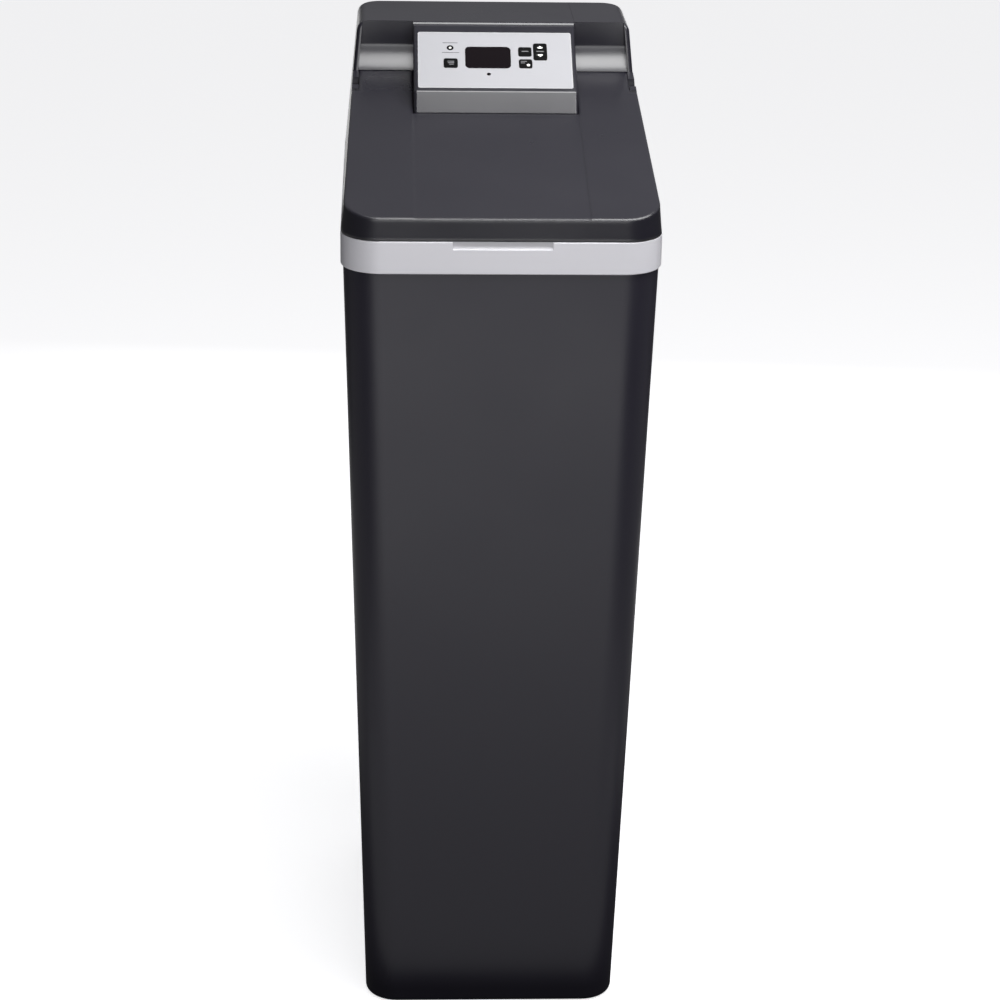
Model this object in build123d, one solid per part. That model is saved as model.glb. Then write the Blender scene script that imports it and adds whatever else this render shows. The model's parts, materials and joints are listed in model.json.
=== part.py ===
from build123d import *
import os
from math import acos, atan2, cos, degrees, hypot, pi, radians, sin, sqrt, tan

# Cabinet water softener. Millimetres, Z up, front faces -Y, origin on the floor
# below the middle of the cabinet.

# Fits and clearances
seat_gap = 0.3
running_gap = 0.05
key_gap = 0.3
overrun = 1.0
mesh_backlash = 0.35

# Cabinet
cabinet_width = 371.4
cabinet_depth = 528.8
cabinet_draft = 1.484
cabinet_wall = 4.0
cabinet_floor = 5.0
cabinet_corner = 45.0
foot_corner = 40.0
foot_round = 7.0

# Rim
rim_reach = 2.6
rim_height = 39.1
rim_over_cabinet = 25.6
rim_corner = 48.0
rim_band = 18.0
rim_skin = 3.0
rim_round = 1.4
rim_rib = 9.3
scoop_width = 116.0
scoop_radius = 18.0
scoop_lead = 3.0
deck_thickness = 4.0
deck_hole_radius = 66.0

# Crown: the tapered block that the lid and the top cover are cut from
crown_step = 0.6
crown_corner = 46.0
crown_draft = 5.6
overall_height = 1206.0
crown_rise = 176.4
shell_wall = 3.0

# Salt lid
lid_slope = 13.93
lid_front_height = 26.3
lid_flange_depth = 14.0
lid_edge_round = 2.6
crease_drop = 0.5
crease_margin = 1.2
pin_lead = 37.4
knuckle_radius = 21.4
knuckle_gap = 0.8
pin_radius = 4.0
lug_radius = 11.0
lug_thickness = 6.0
ear_width = 18.7
lid_opening = 85.0
notch_gap = 0.8

# Top cover
hump_lead = 2.1
cove_lead = 13.6
hump_front_round = 5.0
hump_edge_round = 12.0
cheek_width = 6.0
cove_depth = 20.0
cove_rise = 31.0
cove_top_lean = 2.5
cove_mid_shares = (0.62, 0.42)
rear_cutout_gap = 19.0
rear_cutout_height = 56.0
rear_cutout_corner = 10.0

# Control pod on the cover
pod_margin = 5.3
pod_reach = 122.4
pod_strip_rise = 23.6
pod_strip_lean = 28.1
pod_step = 3.0
pod_round = 4.0
pod_floor_drop = 22.0
stem_lead = 67.1
panel_slope = 32.0

# Faceplate and what is in it; u runs across the panel and v up its slope
faceplate_height = 97.0
faceplate_thickness = 1.5
faceplate_proud = 0.3
faceplate_corner = 2.5
faceplate_margin = 5.6
faceplate_ledge = 4.0
display_width = 56.6
display_height = 37.6
display_corner = 6.0
display_u = -8.7
display_v = 52.8
window_flange = 2.0
window_back = 1.2
module_thickness = 4.4
key_corner = 2.6
key_proud = 0.9
key_flange = 0.8
key_flange_thickness = 1.2
key_travel = 0.8
recharge_width = 17.1
recharge_height = 16.1
recharge_u = -55.0
recharge_v = 42.5
select_width = 16.2
select_height = 15.9
select_u = 37.4
select_v = 63.0
water_width = 16.2
water_height = 15.3
water_u = 37.8
water_v = 42.2
rocker_width = 16.5
rocker_height = 29.0
rocker_u = 56.4
rocker_v = 63.2
rocker_gap = 0.45
rocker_pin_radius = 1.0
rocker_pin_depth = 5.5
rocker_rib = 4.0
status_radius = 2.5
status_u = -8.1
status_v = 23.9
lamp_radius = 4.2
lamp_lens_radius = 1.9
lamp_u = -55.4
lamp_v = 69.3

# Control board and its tray, measured down from the panel's outer face
board_inset = 15.0
board_height = 84.0
board_thickness = 1.6
board_depth = 8.4
switch_side = 6.0
switch_height = 4.4
tray_inset = 1.0
tray_wall = 2.0
tray_depth = 24.0
tray_corner = 4.0
tray_screw_inset = 7.2
tray_screw_v_reach = 32.0
tray_boss_radius = 3.3
tray_boss_end = 12.0
tray_ear_thickness = 2.0
tray_screw_radius = 1.4
tray_screw_head_radius = 2.8
tray_screw_head_height = 1.8

# Resin tank
tank_share = 0.7342
tank_wall_gap = 11.4
tank_side_gap = 5.0
tank_wall = 3.0
tank_foot_radius = 82.0
tank_foot_rise = 46.0
tank_shoulder_drop = 66.0
neck_radius = 38.0
neck_bore_radius = 31.5
neck_rise = 12.0
flange_radius = 44.0
flange_thickness = 8.0
tank_top_drop = 19.6
clamp_wall = 4.0
clamp_lip = 3.0
clamp_split = 1.0
clamp_lug_width = 14.0
clamp_lug_reach = 10.0
clamp_screw_radius = 2.5
tank_seal_radius = 2.4
resin_height = 640.0
resin_side_gap = 1.0
riser_radius = 13.3
riser_bore_radius = 11.0
basket_radius = 34.0
basket_height = 46.0
basket_wall = 2.5
basket_floor_gap = 3.0
upper_basket_radius = 27.0
upper_basket_height = 30.0
basket_slots = 12
basket_slot_width = 2.4

# Control valve on the tank
valve_neck_radius = 34.0
valve_spigot_length = 20.0
valve_spigot_radius = 31.2
cup_lift = 16.0
cup_height = 46.0
cup_radius = 56.0
cup_bore_radius = 50.0
cup_floor = 10.0
cup_flange_radius = 63.0
cup_flange_thickness = 6.0
port_pitch = 56.0
port_lift = 24.0
port_radius = 15.0
port_bore_radius = 11.5
port_reach = 104.0
rib_radius = 17.0
rib_width = 3.0
cover_thickness = 8.0
cover_screw_count = 6
cover_screw_circle = 59.5
cover_screw_radius = 2.0
cover_screw_head_radius = 3.4
cover_screw_head_height = 3.0
cover_screw_length = 13.0
seal_thickness = 3.0
seal_radius = 47.0
rotor_radius = 46.0
rotor_disc_thickness = 10.0
rotor_windows = 3
rotor_window_radius = 9.0
rotor_window_circle = 28.0
rotor_hub_radius = 25.0
shaft_radius = 8.0
shaft_flat_depth = 1.6
washer_radius = 24.0
washer_bore_radius = 12.0
washer_thickness = 1.0
washer_wave = 0.8

# Drive
gear_module = 2.0
cam_gear_teeth = 48
pinion_teeth = 12
pressure_angle = 20.0
gear_width = 8.0
gear_lift = 3.2
gear_rim = 5.0
gear_web = 3.0
gear_hub_radius = 13.0
cam_radius = 42.0
cam_lobe = 2.2
cam_lobe_count = 3
cam_thickness = 2.2
drive_angle = 60.0
plate_thickness = 3.0
plate_lift = 3.4
plate_hub_radius = 26.0
pillar_radius = 4.5
pillar_angles = (150.0, 225.0, 330.0)
pillar_circle = 57.0
plate_screw_radius = 1.8
plate_screw_head_radius = 3.2
plate_screw_head_height = 2.2
motor_radius = 25.0
motor_height = 22.0
motor_gearbox_height = 12.0
motor_gearbox_radius = 21.0
motor_edge_round = 2.0
motor_ear_circle = 31.0
motor_ear_radius = 5.0
motor_ear_thickness = 2.0
motor_shaft_radius = 3.0
switch_body_length = 20.0
switch_body_width = 10.0
switch_body_height = 8.0
switch_angle = 278.0
switch_arm_width = 3.0
switch_arm_thickness = 0.8

# Nozzle and venturi beside the valve
venturi_reach = 96.0
venturi_side_gap = 4.8
venturi_dy = -10.0
venturi_radius = 24.0
venturi_bore_radius = 19.0
venturi_depth = 12.0
venturi_rise = 22.0
venturi_floor = 6.0
venturi_arm_radius = 11.0
venturi_cap_radius = 27.0
venturi_cap_height = 14.0
venturi_cap_top = 4.0
venturi_grips = 12
venturi_grip_radius = 2.2
nozzle_radius = 16.0
nozzle_thickness = 6.0
nozzle_hole_radius = 2.0
brine_boss_dy = -27.0
brine_boss_radius = 8.0
brine_boss_drop = 6.0

# Bypass, adaptors and flow turbine behind the valve
spigot_radius = 11.2
spigot_length = 14.0
water_way_radius = 9.0
barrel_radius = 19.0
barrel_bore_radius = 14.5
barrel_length = 112.0
barrel_offset = 27.0
bypass_reach = 53.0
spool_travel = 26.0
spool_waist_radius = 7.0
spool_waist_length = 24.0
spool_neck_radius = 9.0
knob_radius = 17.0
knob_length = 12.0
knob_grips = 10
knob_grip_radius = 1.8
knob_boss_length = 8.0
spool_seal_radius = 1.2
adaptor_radius = 15.0
adaptor_hex = 38.0
adaptor_body_length = 10.0
adaptor_hex_length = 12.0
adaptor_thread_radius = 16.7
adaptor_thread_length = 22.0
adaptor_bore_radius = 11.0
clip_thickness = 2.4
clip_cheek = 1.6
clip_sweep = 236.0
turbine_radius = 9.6
turbine_length = 9.0
turbine_hub_radius = 3.2
turbine_blades = 6
turbine_blade_width = 1.4
turbine_pin_radius = 1.0
turbine_depth = 34.0
support_ring = 1.6
support_spoke = 1.8
drain_dy = 20.0
drain_boss_length = 16.0
drain_boss_radius = 11.0
drain_reach = 112.0
drain_radius = 9.5
drain_barb_radius = 6.6
drain_barb_length = 22.0
drain_tip_y = 214.0
drain_bore_radius = 4.5
barb_ring_rise = 1.0
barb_ring_count = 3
barb_ring_share = 0.5

# Brine well and its valve
well_share = 0.3276
well_wall_gap = 7.7
well_tank_step = 135.1
well_wall = 3.0
well_top_drop = 24.0
well_slot_width = 3.6
well_slot_height = 90.0
well_slots = 8
well_slot_low = 12.0
well_cap_thickness = 3.0
well_cap_skirt = 14.0
well_cap_wall = 2.5
well_cap_knob_radius = 12.0
well_cap_knob_height = 14.0
valve_foot_share = 0.53
valve_foot_height = 28.0
valve_stem_share = 0.333
valve_stem_top = 120.0
foot_slots = 10
foot_slot_width = 2.5
brine_offset_share = 0.431
float_share = 0.451
float_height = 70.0
float_low = 300.0
float_travel = 20.0
float_round = 6.0
rod_radius = 2.0
rod_bore_depth = 50.0
rod_top = 620.0
rod_collar_radius = 4.0
rod_collar_height = 5.0
tube_radius = 4.76
tube_bore_radius = 3.2
tube_drop_under_well = 38.0
tube_exit_y = 46.0
tube_exit_under_well = 30.0
tube_turn_under_port = 46.0
tube_bends = (26.0, 22.0, 16.0)
tube_socket = 5.0
deck_tube_gap = 3.0

# Overflow at the back of the cabinet
overflow_side_share = 0.287
overflow_under_rim = 124.0
overflow_radius = 8.5
overflow_bore_radius = 5.5
overflow_flange_radius = 16.0
overflow_flange_thickness = 3.0
overflow_reach = 16.0
overflow_drop = 36.0
overflow_barb_radius = 6.6
overflow_barb_length = 20.0
grommet_wall = 2.2
grommet_lip_thickness = 2.0

# Sizes worked out from those above
rim_high = overall_height - crown_rise
rim_low = rim_high - rim_height
cabinet_height = rim_high - rim_over_cabinet
rim_width = cabinet_width + 2 * rim_reach
rim_depth = cabinet_depth + 2 * rim_reach
cabinet_lean = cabinet_height * tan(radians(cabinet_draft))
cabinet_back_low = cabinet_depth / 2 - cabinet_lean - cabinet_wall
cabinet_side_low = cabinet_width / 2 - cabinet_lean - cabinet_wall
tank_radius = cabinet_side_low * tank_share
tank_x = cabinet_side_low - tank_wall_gap - tank_radius
tank_y = cabinet_back_low - tank_side_gap - tank_radius
venturi_x = tank_x - venturi_reach
hump_front_y = tank_y - hump_lead
lid_back_y = hump_front_y - cove_lead
pin_y = lid_back_y - pin_lead
pod_front_y = hump_front_y - pod_reach
pod_stem_y = tank_y - stem_lead
pod_half_width = shell_wall + venturi_side_gap + venturi_cap_radius - venturi_x
faceplate_width = 2 * (pod_half_width - pod_margin)
board_width = faceplate_width - board_inset
rear_cutout_width = 2 * (tank_x + barrel_length / 2 + knob_boss_length + knob_length + rear_cutout_gap)
crown_low = rim_high + seat_gap
crown_width = rim_width - 2 * crown_step
crown_depth = rim_depth - 2 * crown_step
ear_inner_x = crown_width / 2 - ear_width
tray_screw_u = pod_half_width - tray_screw_inset
lid_edge_y = -crown_depth / 2 + lid_front_height * tan(radians(crown_draft))
lid_edge_z = crown_low + lid_front_height
slope_cos = cos(radians(lid_slope))
slope_sin = sin(radians(lid_slope))


def lid_height(y):
    """Height of the lid's outer plane at a place y."""
    return lid_edge_z + (y - lid_edge_y) * slope_sin / slope_cos


pin_z = lid_height(pin_y) - knuckle_radius / slope_cos
lid_back_z = lid_height(lid_back_y)
sweep_radius = hypot(lid_back_y - pin_y, lid_back_z - pin_z)
pocket_radius = sweep_radius + knuckle_gap
pocket_y = pin_y + pocket_radius
pod_foot_z = lid_height(pod_front_y)
pod_floor_z = pod_foot_z - pod_floor_drop
panel_y = pod_front_y + pod_strip_rise * tan(radians(pod_strip_lean))
panel_z = pod_foot_z + pod_strip_rise
pod_top_z = overall_height - pod_step
panel = Plane(
    origin=(0, panel_y, panel_z),
    x_dir=(1, 0, 0),
    z_dir=(0, -sin(radians(panel_slope)), cos(radians(panel_slope))),
)
faceplate_v = faceplate_margin + faceplate_height / 2
pocket_depth = faceplate_thickness - faceplate_proud
board_top = -board_depth
board_low = board_top - board_thickness
tank_top = rim_high - tank_top_drop
tank_floor = cabinet_floor + seat_gap
neck_flange_low = tank_top - flange_thickness
shoulder_z = neck_flange_low - neck_rise
cylinder_top = shoulder_z - tank_shoulder_drop
cup_low = tank_top + cup_lift
cup_high = cup_low + cup_height
port_z = cup_low + port_lift
cover_low = cup_high
cover_top = cover_low + cover_thickness
gear_low = cover_top + gear_lift
gear_high = gear_low + gear_width
plate_low = gear_high + plate_lift
plate_high = plate_low + plate_thickness
gear_radius = gear_module * cam_gear_teeth / 2
pinion_radius = gear_module * pinion_teeth / 2
gear_centres = gear_radius + pinion_radius + mesh_backlash
drive_x = tank_x + gear_centres * cos(radians(drive_angle))
drive_y = tank_y + gear_centres * sin(radians(drive_angle))
inlet_x = tank_x + port_pitch / 2
outlet_x = tank_x - port_pitch / 2
port_end_y = tank_y + port_reach
bypass_y = port_end_y + seat_gap
barrel_y = bypass_y + barrel_offset
bypass_end_y = bypass_y + bypass_reach
adaptor_y = bypass_end_y + seat_gap
drain_turn_x = tank_x + drain_reach
venturi_y = tank_y + venturi_dy
venturi_low = port_z - venturi_depth
venturi_high = port_z + venturi_rise
brine_boss_y = venturi_y + brine_boss_dy
brine_boss_z = venturi_low - brine_boss_drop
rotor_low = cup_low + cup_floor + seal_thickness + seat_gap
rotor_high = rotor_low + rotor_disc_thickness
well_floor = cabinet_floor + seat_gap
well_height = cabinet_height - well_top_drop
well_radius = cabinet_side_low * well_share
well_x = well_wall_gap + well_radius - cabinet_side_low
well_y = tank_y - well_tank_step
valve_foot_radius = well_radius * valve_foot_share
valve_stem_radius = well_radius * valve_stem_share
brine_offset = well_radius * brine_offset_share
float_radius = well_radius * float_share
tube_drop_rise = well_height - tube_drop_under_well
tube_exit_z = well_height - tube_exit_under_well
tube_turn_z = port_z - tube_turn_under_port
overflow_x = -cabinet_width * overflow_side_share
overflow_z = cabinet_height - overflow_under_rim
riser_x = well_x - brine_offset
riser_low = valve_stem_top


# Small tools: solids between two levels, placed by their axis
def rod_z(radius, low, high, x=0, y=0):
    return Pos(x, y, low) * Cylinder(radius, high - low, align=(Align.CENTER, Align.CENTER, Align.MIN))


def rod_y(radius, low, high, x=0, z=0):
    return Pos(x, low, z) * Rot(-90, 0, 0) * Cylinder(
        radius, high - low, align=(Align.CENTER, Align.CENTER, Align.MIN)
    )


def rod_x(radius, low, high, y=0, z=0):
    return Pos(low, y, z) * Rot(0, 90, 0) * Cylinder(
        radius, high - low, align=(Align.CENTER, Align.CENTER, Align.MIN)
    )


def block(x, y, z):
    """Box between the low and high value of each pair."""
    return Pos(x[0], y[0], z[0]) * Box(
        x[1] - x[0], y[1] - y[0], z[1] - z[0], align=(Align.MIN, Align.MIN, Align.MIN)
    )


def slab(width, depth, corner, low, high):
    """Upright plate with rounded plan corners, centred on the origin."""
    plan = Plane.XY.offset(low) * RectangleRounded(width, depth, corner)
    return extrude(plan, amount=high - low)


def side_prism(outline, x_low, x_high):
    """Prism along X from an outline drawn in (y, z)."""
    return extrude(Plane.YZ.offset(x_low) * outline, amount=x_high - x_low)


def pad(width, height, corner, u, v, low, high):
    """Rounded plate in the panel's frame, between two depths."""
    plan = Plane.XY.offset(low) * Pos(u, v) * RectangleRounded(width, height, corner)
    return extrude(plan, amount=high - low)


def both_sides(solid):
    return solid + mirror(solid, about=Plane.YZ)


def together(solids):
    """One node made of several separate solids."""
    whole = solids[0]
    for solid in solids[1:]:
        whole += solid
    return whole


def in_circle(count, radius, shape, start=0.0):
    """Copies of a shape on a circle round the Z axis."""
    turns = [start + 360 * i / count for i in range(count)]
    return [Rot(0, 0, turn) * Pos(radius, 0, 0) * shape for turn in turns]


# Cabinet
def cabinet_plan(z, inset):
    lean = (cabinet_height - z) * tan(radians(cabinet_draft))
    corner = foot_corner + (cabinet_corner - foot_corner) * z / cabinet_height
    width = cabinet_width - 2 * lean - 2 * inset
    depth = cabinet_depth - 2 * lean - 2 * inset
    return Plane.XY.offset(z) * RectangleRounded(width, depth, corner - inset)


def cabinet_back(z):
    """Outer back face of the cabinet at a height z."""
    return cabinet_depth / 2 - (cabinet_height - z) * tan(radians(cabinet_draft))


def make_cabinet():
    outer = loft([cabinet_plan(0, 0), cabinet_plan(cabinet_height, 0)], ruled=True)
    foot = outer.faces().sort_by(Axis.Z)[0].edges()
    outer = fillet(foot, foot_round)
    top = cabinet_height + overrun
    inner = loft([cabinet_plan(cabinet_floor, cabinet_wall), cabinet_plan(top, cabinet_wall)], ruled=True)
    back = cabinet_back(overflow_z)
    hole = rod_y(
        overflow_radius + grommet_wall, back - 2 * cabinet_wall, back + overrun, overflow_x, overflow_z
    )
    return outer - inner - hole


# Rim
def make_rim():
    ring = slab(rim_width, rim_depth, rim_corner, rim_low, rim_high)
    ends = ring.faces().sort_by(Axis.Z)
    ring = fillet(ends[0].edges() + ends[-1].edges(), rim_round)
    mouth_width = rim_width - 2 * rim_band
    mouth_depth = rim_depth - 2 * rim_band
    mouth_corner = rim_corner - rim_band
    mouth = slab(mouth_width, mouth_depth, mouth_corner, rim_low - overrun, rim_high + overrun)
    seat = slab(
        cabinet_width + 2 * seat_gap,
        cabinet_depth + 2 * seat_gap,
        cabinet_corner + seat_gap,
        rim_low - overrun,
        cabinet_height + seat_gap,
    )
    groove_out = rim_rib
    groove_in = rim_band - rim_skin
    groove_top = rim_high - rim_skin
    groove = slab(
        rim_width - 2 * groove_out, rim_depth - 2 * groove_out, rim_corner - groove_out,
        cabinet_height, groove_top,
    ) - slab(
        rim_width - 2 * groove_in, rim_depth - 2 * groove_in, rim_corner - groove_in,
        rim_low, rim_high,
    )
    scoop_half = scoop_width / 2
    guard = scoop_half + rim_skin
    groove -= block((-guard, guard), (-rim_depth / 2, -rim_depth / 2 + rim_band), (rim_low, rim_high))
    scoop = rod_x(scoop_radius, -scoop_half, scoop_half, -rim_depth / 2 - scoop_lead, rim_high)
    deck_low = rim_high - deck_thickness
    deck_front = pocket_y - shell_wall
    lap = rim_skin
    deck = block(
        (-mouth_width / 2 - lap, mouth_width / 2 + lap), (deck_front, mouth_depth / 2 + lap), (deck_low, rim_high)
    )
    deck += block((-pod_half_width, pod_half_width), (pod_stem_y - shell_wall, deck_front), (deck_low, rim_high))
    deck &= slab(
        mouth_width + 2 * lap, mouth_depth + 2 * lap, mouth_corner + lap, deck_low, rim_high
    )
    body = ring - mouth - seat - groove - scoop + deck
    body -= rod_z(deck_hole_radius, rim_low, rim_high + overrun, tank_x, tank_y)
    body -= rod_z(tube_radius + deck_tube_gap, rim_low, rim_high + overrun, venturi_x, brine_boss_y)
    return body


# Crown shapes shared by the lid and the top cover
def crown(inset, low=crown_low):
    plan = Plane.XY.offset(low) * RectangleRounded(
        crown_width - 2 * inset, crown_depth - 2 * inset, crown_corner - inset
    )
    return extrude(plan, amount=overall_height - low, taper=crown_draft)


def knuckle_outline(grow, low):
    """Side view of a hinge ear: upright front, round top, then along the lid's plane."""
    radius = knuckle_radius + grow
    normal = (-slope_sin, slope_cos)
    front = (pin_y - radius, pin_z)
    top = (pin_y + radius * normal[0], pin_z + radius * normal[1])
    turn = radians(180 + 90 + lid_slope) / 2
    middle = (pin_y + radius * cos(turn), pin_z + radius * sin(turn))
    reach = (lid_back_y + grow - top[0]) / slope_cos
    end = (lid_back_y + grow, top[1] + reach * slope_sin)
    edges = [
        Line((front[0], low), front),
        ThreePointArc(front, middle, top),
        Line(top, end),
        Line(end, (end[0], low)),
        Line((end[0], low), (front[0], low)),
    ]
    return make_face(Wire(edges))


def ear_valleys():
    """Space behind each ear's round top that the open lid's edge swings into."""
    notch_radius = knuckle_radius + knuckle_gap
    edge_turn = radians(lid_opening - lid_slope) - acos(knuckle_radius / notch_radius)
    valley_y = pin_y + notch_radius * sin(edge_turn) + knuckle_gap
    valley = block((ear_inner_x - overrun, crown_width / 2 + overrun), (pin_y, valley_y), (pin_z, overall_height))
    valley -= rod_x(knuckle_radius, ear_inner_x - 2 * overrun, crown_width, pin_y, pin_z)
    return both_sides(valley)


def lid_wedge(drop, low_drop, radius):
    """Band under the lid's plane between two drops, ended by an arc about the hinge pin."""
    front = -crown_depth / 2 - overrun
    high = (front, lid_height(front) - drop / slope_cos)
    low = (front, lid_height(front) - low_drop / slope_cos)
    back_y = pin_y + radius + overrun
    high_back = (back_y, lid_height(back_y) - drop / slope_cos)
    low_back = (back_y, lid_height(back_y) - low_drop / slope_cos)
    band = make_face(Polyline(high, high_back, low_back, low, close=True))
    half = crown_width / 2 + overrun
    behind = side_prism(band, -half, half)
    front_part = block((-half, half), (front - overrun, pin_y), (crown_low - overrun, overall_height))
    round_part = rod_x(radius, -half, half, pin_y, pin_z)
    return behind & (front_part + round_part)


def sunk_band():
    """Space between the two creases, where the lid and the hump lie a little lower."""
    half = pod_half_width + crease_margin
    return block((-half, half), (-crown_depth, crown_depth), (crown_low, overall_height + overrun))


def notch_block(grow):
    """Space of the control pod and the two ears, seen from above."""
    half = pod_half_width + notch_gap + grow
    tall = (crown_low - overrun, overall_height + overrun)
    far = lid_back_y + pocket_radius
    shape = block((-half, half), (pod_front_y - notch_gap - grow, far), tall)
    ear_from = ear_inner_x - notch_gap - grow
    ear_side = side_prism(
        knuckle_outline(knuckle_gap + grow, crown_low - overrun), ear_from, crown_width / 2 + overrun
    )
    ear_top = block(
        (ear_from, crown_width / 2 + overrun), (pin_y - knuckle_radius / 2, far), (pin_z, overall_height)
    )
    return shape + both_sides(ear_side + ear_top)


def make_salt_lid():
    outer = crown(0) & lid_wedge(0, lid_flange_depth, sweep_radius)
    rim_edges = [
        edge
        for edge in outer.edges()
        if abs(edge.center().Z - lid_height(edge.center().Y)) < running_gap and edge.center().Y < pin_y
    ]
    outer = fillet(rim_edges, lid_edge_round)
    outer -= lid_wedge(0, crease_drop, sweep_radius) & sunk_band()
    inner = crown(shell_wall) & lid_wedge(shell_wall, lid_flange_depth + overrun, sweep_radius - shell_wall)
    top = outer - notch_block(0) - (inner - notch_block(shell_wall))
    front_y = pin_y - knuckle_radius - knuckle_gap
    half = crown_width / 2 + overrun
    skirt_side = make_face(
        Polyline(
            (-half * 2, crown_low),
            (-half * 2, lid_height(-half * 2) - shell_wall),
            (front_y, lid_height(front_y) - shell_wall),
            (front_y, crown_low),
            close=True,
        )
    )
    skirt = (crown(0) - crown(shell_wall)) & side_prism(skirt_side, -half, half)
    skirt -= block((-pod_half_width, pod_half_width), (0, half * 2), (crown_low, overall_height))
    lid = top + skirt - notch_block(0)
    lug_out = ear_inner_x - notch_gap
    lug_in = lug_out - lug_thickness
    lug_top = lid_height(pin_y - lug_radius) - shell_wall
    lug = rod_x(lug_radius, lug_in, lug_out, pin_y, pin_z)
    lug += block((lug_in, lug_out), (pin_y - lug_radius, pin_y + lug_radius), (pin_z, lug_top))
    lug -= rod_x(pin_radius + running_gap, lug_in - overrun, lug_out + overrun, pin_y, pin_z)
    return lid + both_sides(lug)


def make_hinge_pins():
    start = ear_inner_x - notch_gap - lug_thickness - 2 * notch_gap
    end = ear_inner_x + lug_thickness
    return both_sides(rod_x(pin_radius, start, end, pin_y, pin_z))


# Top cover
def hump(inset, low):
    points = [
        (lid_back_y, low),
        (lid_back_y, lid_back_z),
        (hump_front_y, overall_height),
        (crown_depth, overall_height),
        (crown_depth, low),
    ]
    outline = make_face(Polyline(*points, close=True))
    if inset:
        outline = offset(outline, amount=-inset, kind=Kind.INTERSECTION)
    half = crown_width / 2
    return crown(inset, low) & side_prism(outline, -half, half)


def pod_outline(low):
    rise = pod_top_z - panel_z
    return Polyline(
        (hump_front_y + shell_wall * 4, low),
        (pod_stem_y, low),
        (pod_stem_y, pod_floor_z),
        (pod_front_y, pod_floor_z),
        (pod_front_y, pod_foot_z),
        (panel_y, panel_z),
        (panel_y + rise / tan(radians(panel_slope)), pod_top_z),
        (hump_front_y + shell_wall * 4, pod_top_z),
        close=True,
    )


def pod(inset, low):
    outline = make_face(pod_outline(low))
    if inset:
        outline = offset(outline, amount=-inset, kind=Kind.INTERSECTION)
    half = pod_half_width - inset
    return side_prism(outline, -half, half)


def rounded_pod(low):
    """Pod with soft edges round its sloping panel and its front strip."""
    body = pod(0, low)
    soft = []
    for edge in body.edges():
        middle = edge.center()
        on_side = abs(abs(middle.X) - pod_half_width) < running_gap
        across = abs(middle.X) < running_gap
        in_front = middle.Y < hump_front_y
        if in_front and on_side and middle.Z > pod_foot_z + running_gap and middle.Z < pod_top_z:
            soft.append(edge)
        if in_front and across and middle.Z > pod_foot_z + running_gap:
            soft.append(edge)
    return fillet(soft, pod_round)


def cove_outline(grow, top):
    """Side view of the hollow in front of the hump, open towards the front."""
    start = (lid_back_y - overrun, lid_height(lid_back_y - overrun) - grow / slope_cos)
    foot = (lid_back_y, lid_back_z - grow / slope_cos)
    middle = (
        lid_back_y + cove_depth * cove_mid_shares[0] + grow / 2,
        lid_back_z + cove_rise * cove_mid_shares[1] - grow / 2,
    )
    head = (lid_back_y + cove_depth + grow, lid_back_z + cove_rise)
    high = (head[0] - cove_top_lean, top)
    edges = [
        Line(start, foot),
        ThreePointArc(foot, middle, head),
        Line(head, high),
        Line(high, (start[0] - cove_depth, top)),
        Line((start[0] - cove_depth, top), (start[0] - cove_depth, start[1])),
        Line((start[0] - cove_depth, start[1]), start),
    ]
    return make_face(Wire(edges))


def coves(inset):
    inner = pod_half_width - inset
    prism = side_prism(cove_outline(inset, overall_height + overrun), inner, crown_width)
    return both_sides(prism) & crown(cheek_width - inset, crown_low - overrun)


def lid_pocket(inset):
    """Space swept by the lid's back edge, kept clear behind the hinge pins."""
    inner = pod_half_width - inset
    outer = ear_inner_x + inset
    radius = pocket_radius + inset
    low = crown_low - 2 * overrun - shell_wall
    shape = rod_x(radius, inner, outer, pin_y, pin_z)
    shape += block((inner, outer), (pin_y - radius, pin_y + radius), (low, pin_z))
    return both_sides(shape)


def make_top_cover():
    low = crown_low - overrun
    body = hump(0, crown_low)
    top_edges = [
        edge
        for edge in body.edges()
        if edge.center().Z > overall_height - running_gap and edge.center().Y > hump_front_y + overrun
    ]
    body = fillet(top_edges, hump_edge_round)
    front = [edge for edge in body.edges() if abs(edge.center().Y - hump_front_y) < overrun]
    front = [edge for edge in front if edge.center().Z > overall_height - overrun]
    body = fillet(front, hump_front_round)
    body -= sunk_band() & block(
        (-crown_width, crown_width), (hump_front_y, crown_depth), (overall_height - crease_drop, overall_height)
    )
    body -= coves(0)
    ear = side_prism(knuckle_outline(0, crown_low), ear_inner_x, crown_width)
    ear_hollow = side_prism(knuckle_outline(-shell_wall, low), ear_inner_x + shell_wall, crown_width)
    ear_hollow &= block((0, crown_width), (0, crown_depth), (low, pin_z - lug_radius))
    body += both_sides(ear) & crown(0)
    body -= both_sides(ear_hollow) & crown(shell_wall, low)
    body -= lid_pocket(0) + ear_valleys()
    body += rounded_pod(crown_low)
    hollow_low = low - shell_wall
    hollow = hump(shell_wall, hollow_low) - coves(shell_wall) - lid_pocket(shell_wall)
    hollow += pod(shell_wall, hollow_low)
    body -= hollow
    cutout = Plane.XZ.offset(-crown_depth) * Pos(tank_x, crown_low) * Rectangle(
        rear_cutout_width, 2 * rear_cutout_height
    )
    cutout = extrude(cutout, amount=crown_depth - barrel_y)
    cutout = fillet(cutout.edges().filter_by(Axis.Y), rear_cutout_corner)
    body -= cutout
    body -= both_sides(rod_x(pin_radius, ear_inner_x - overrun, ear_inner_x + lug_thickness, pin_y, pin_z))
    return cut_panel(body)


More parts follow.
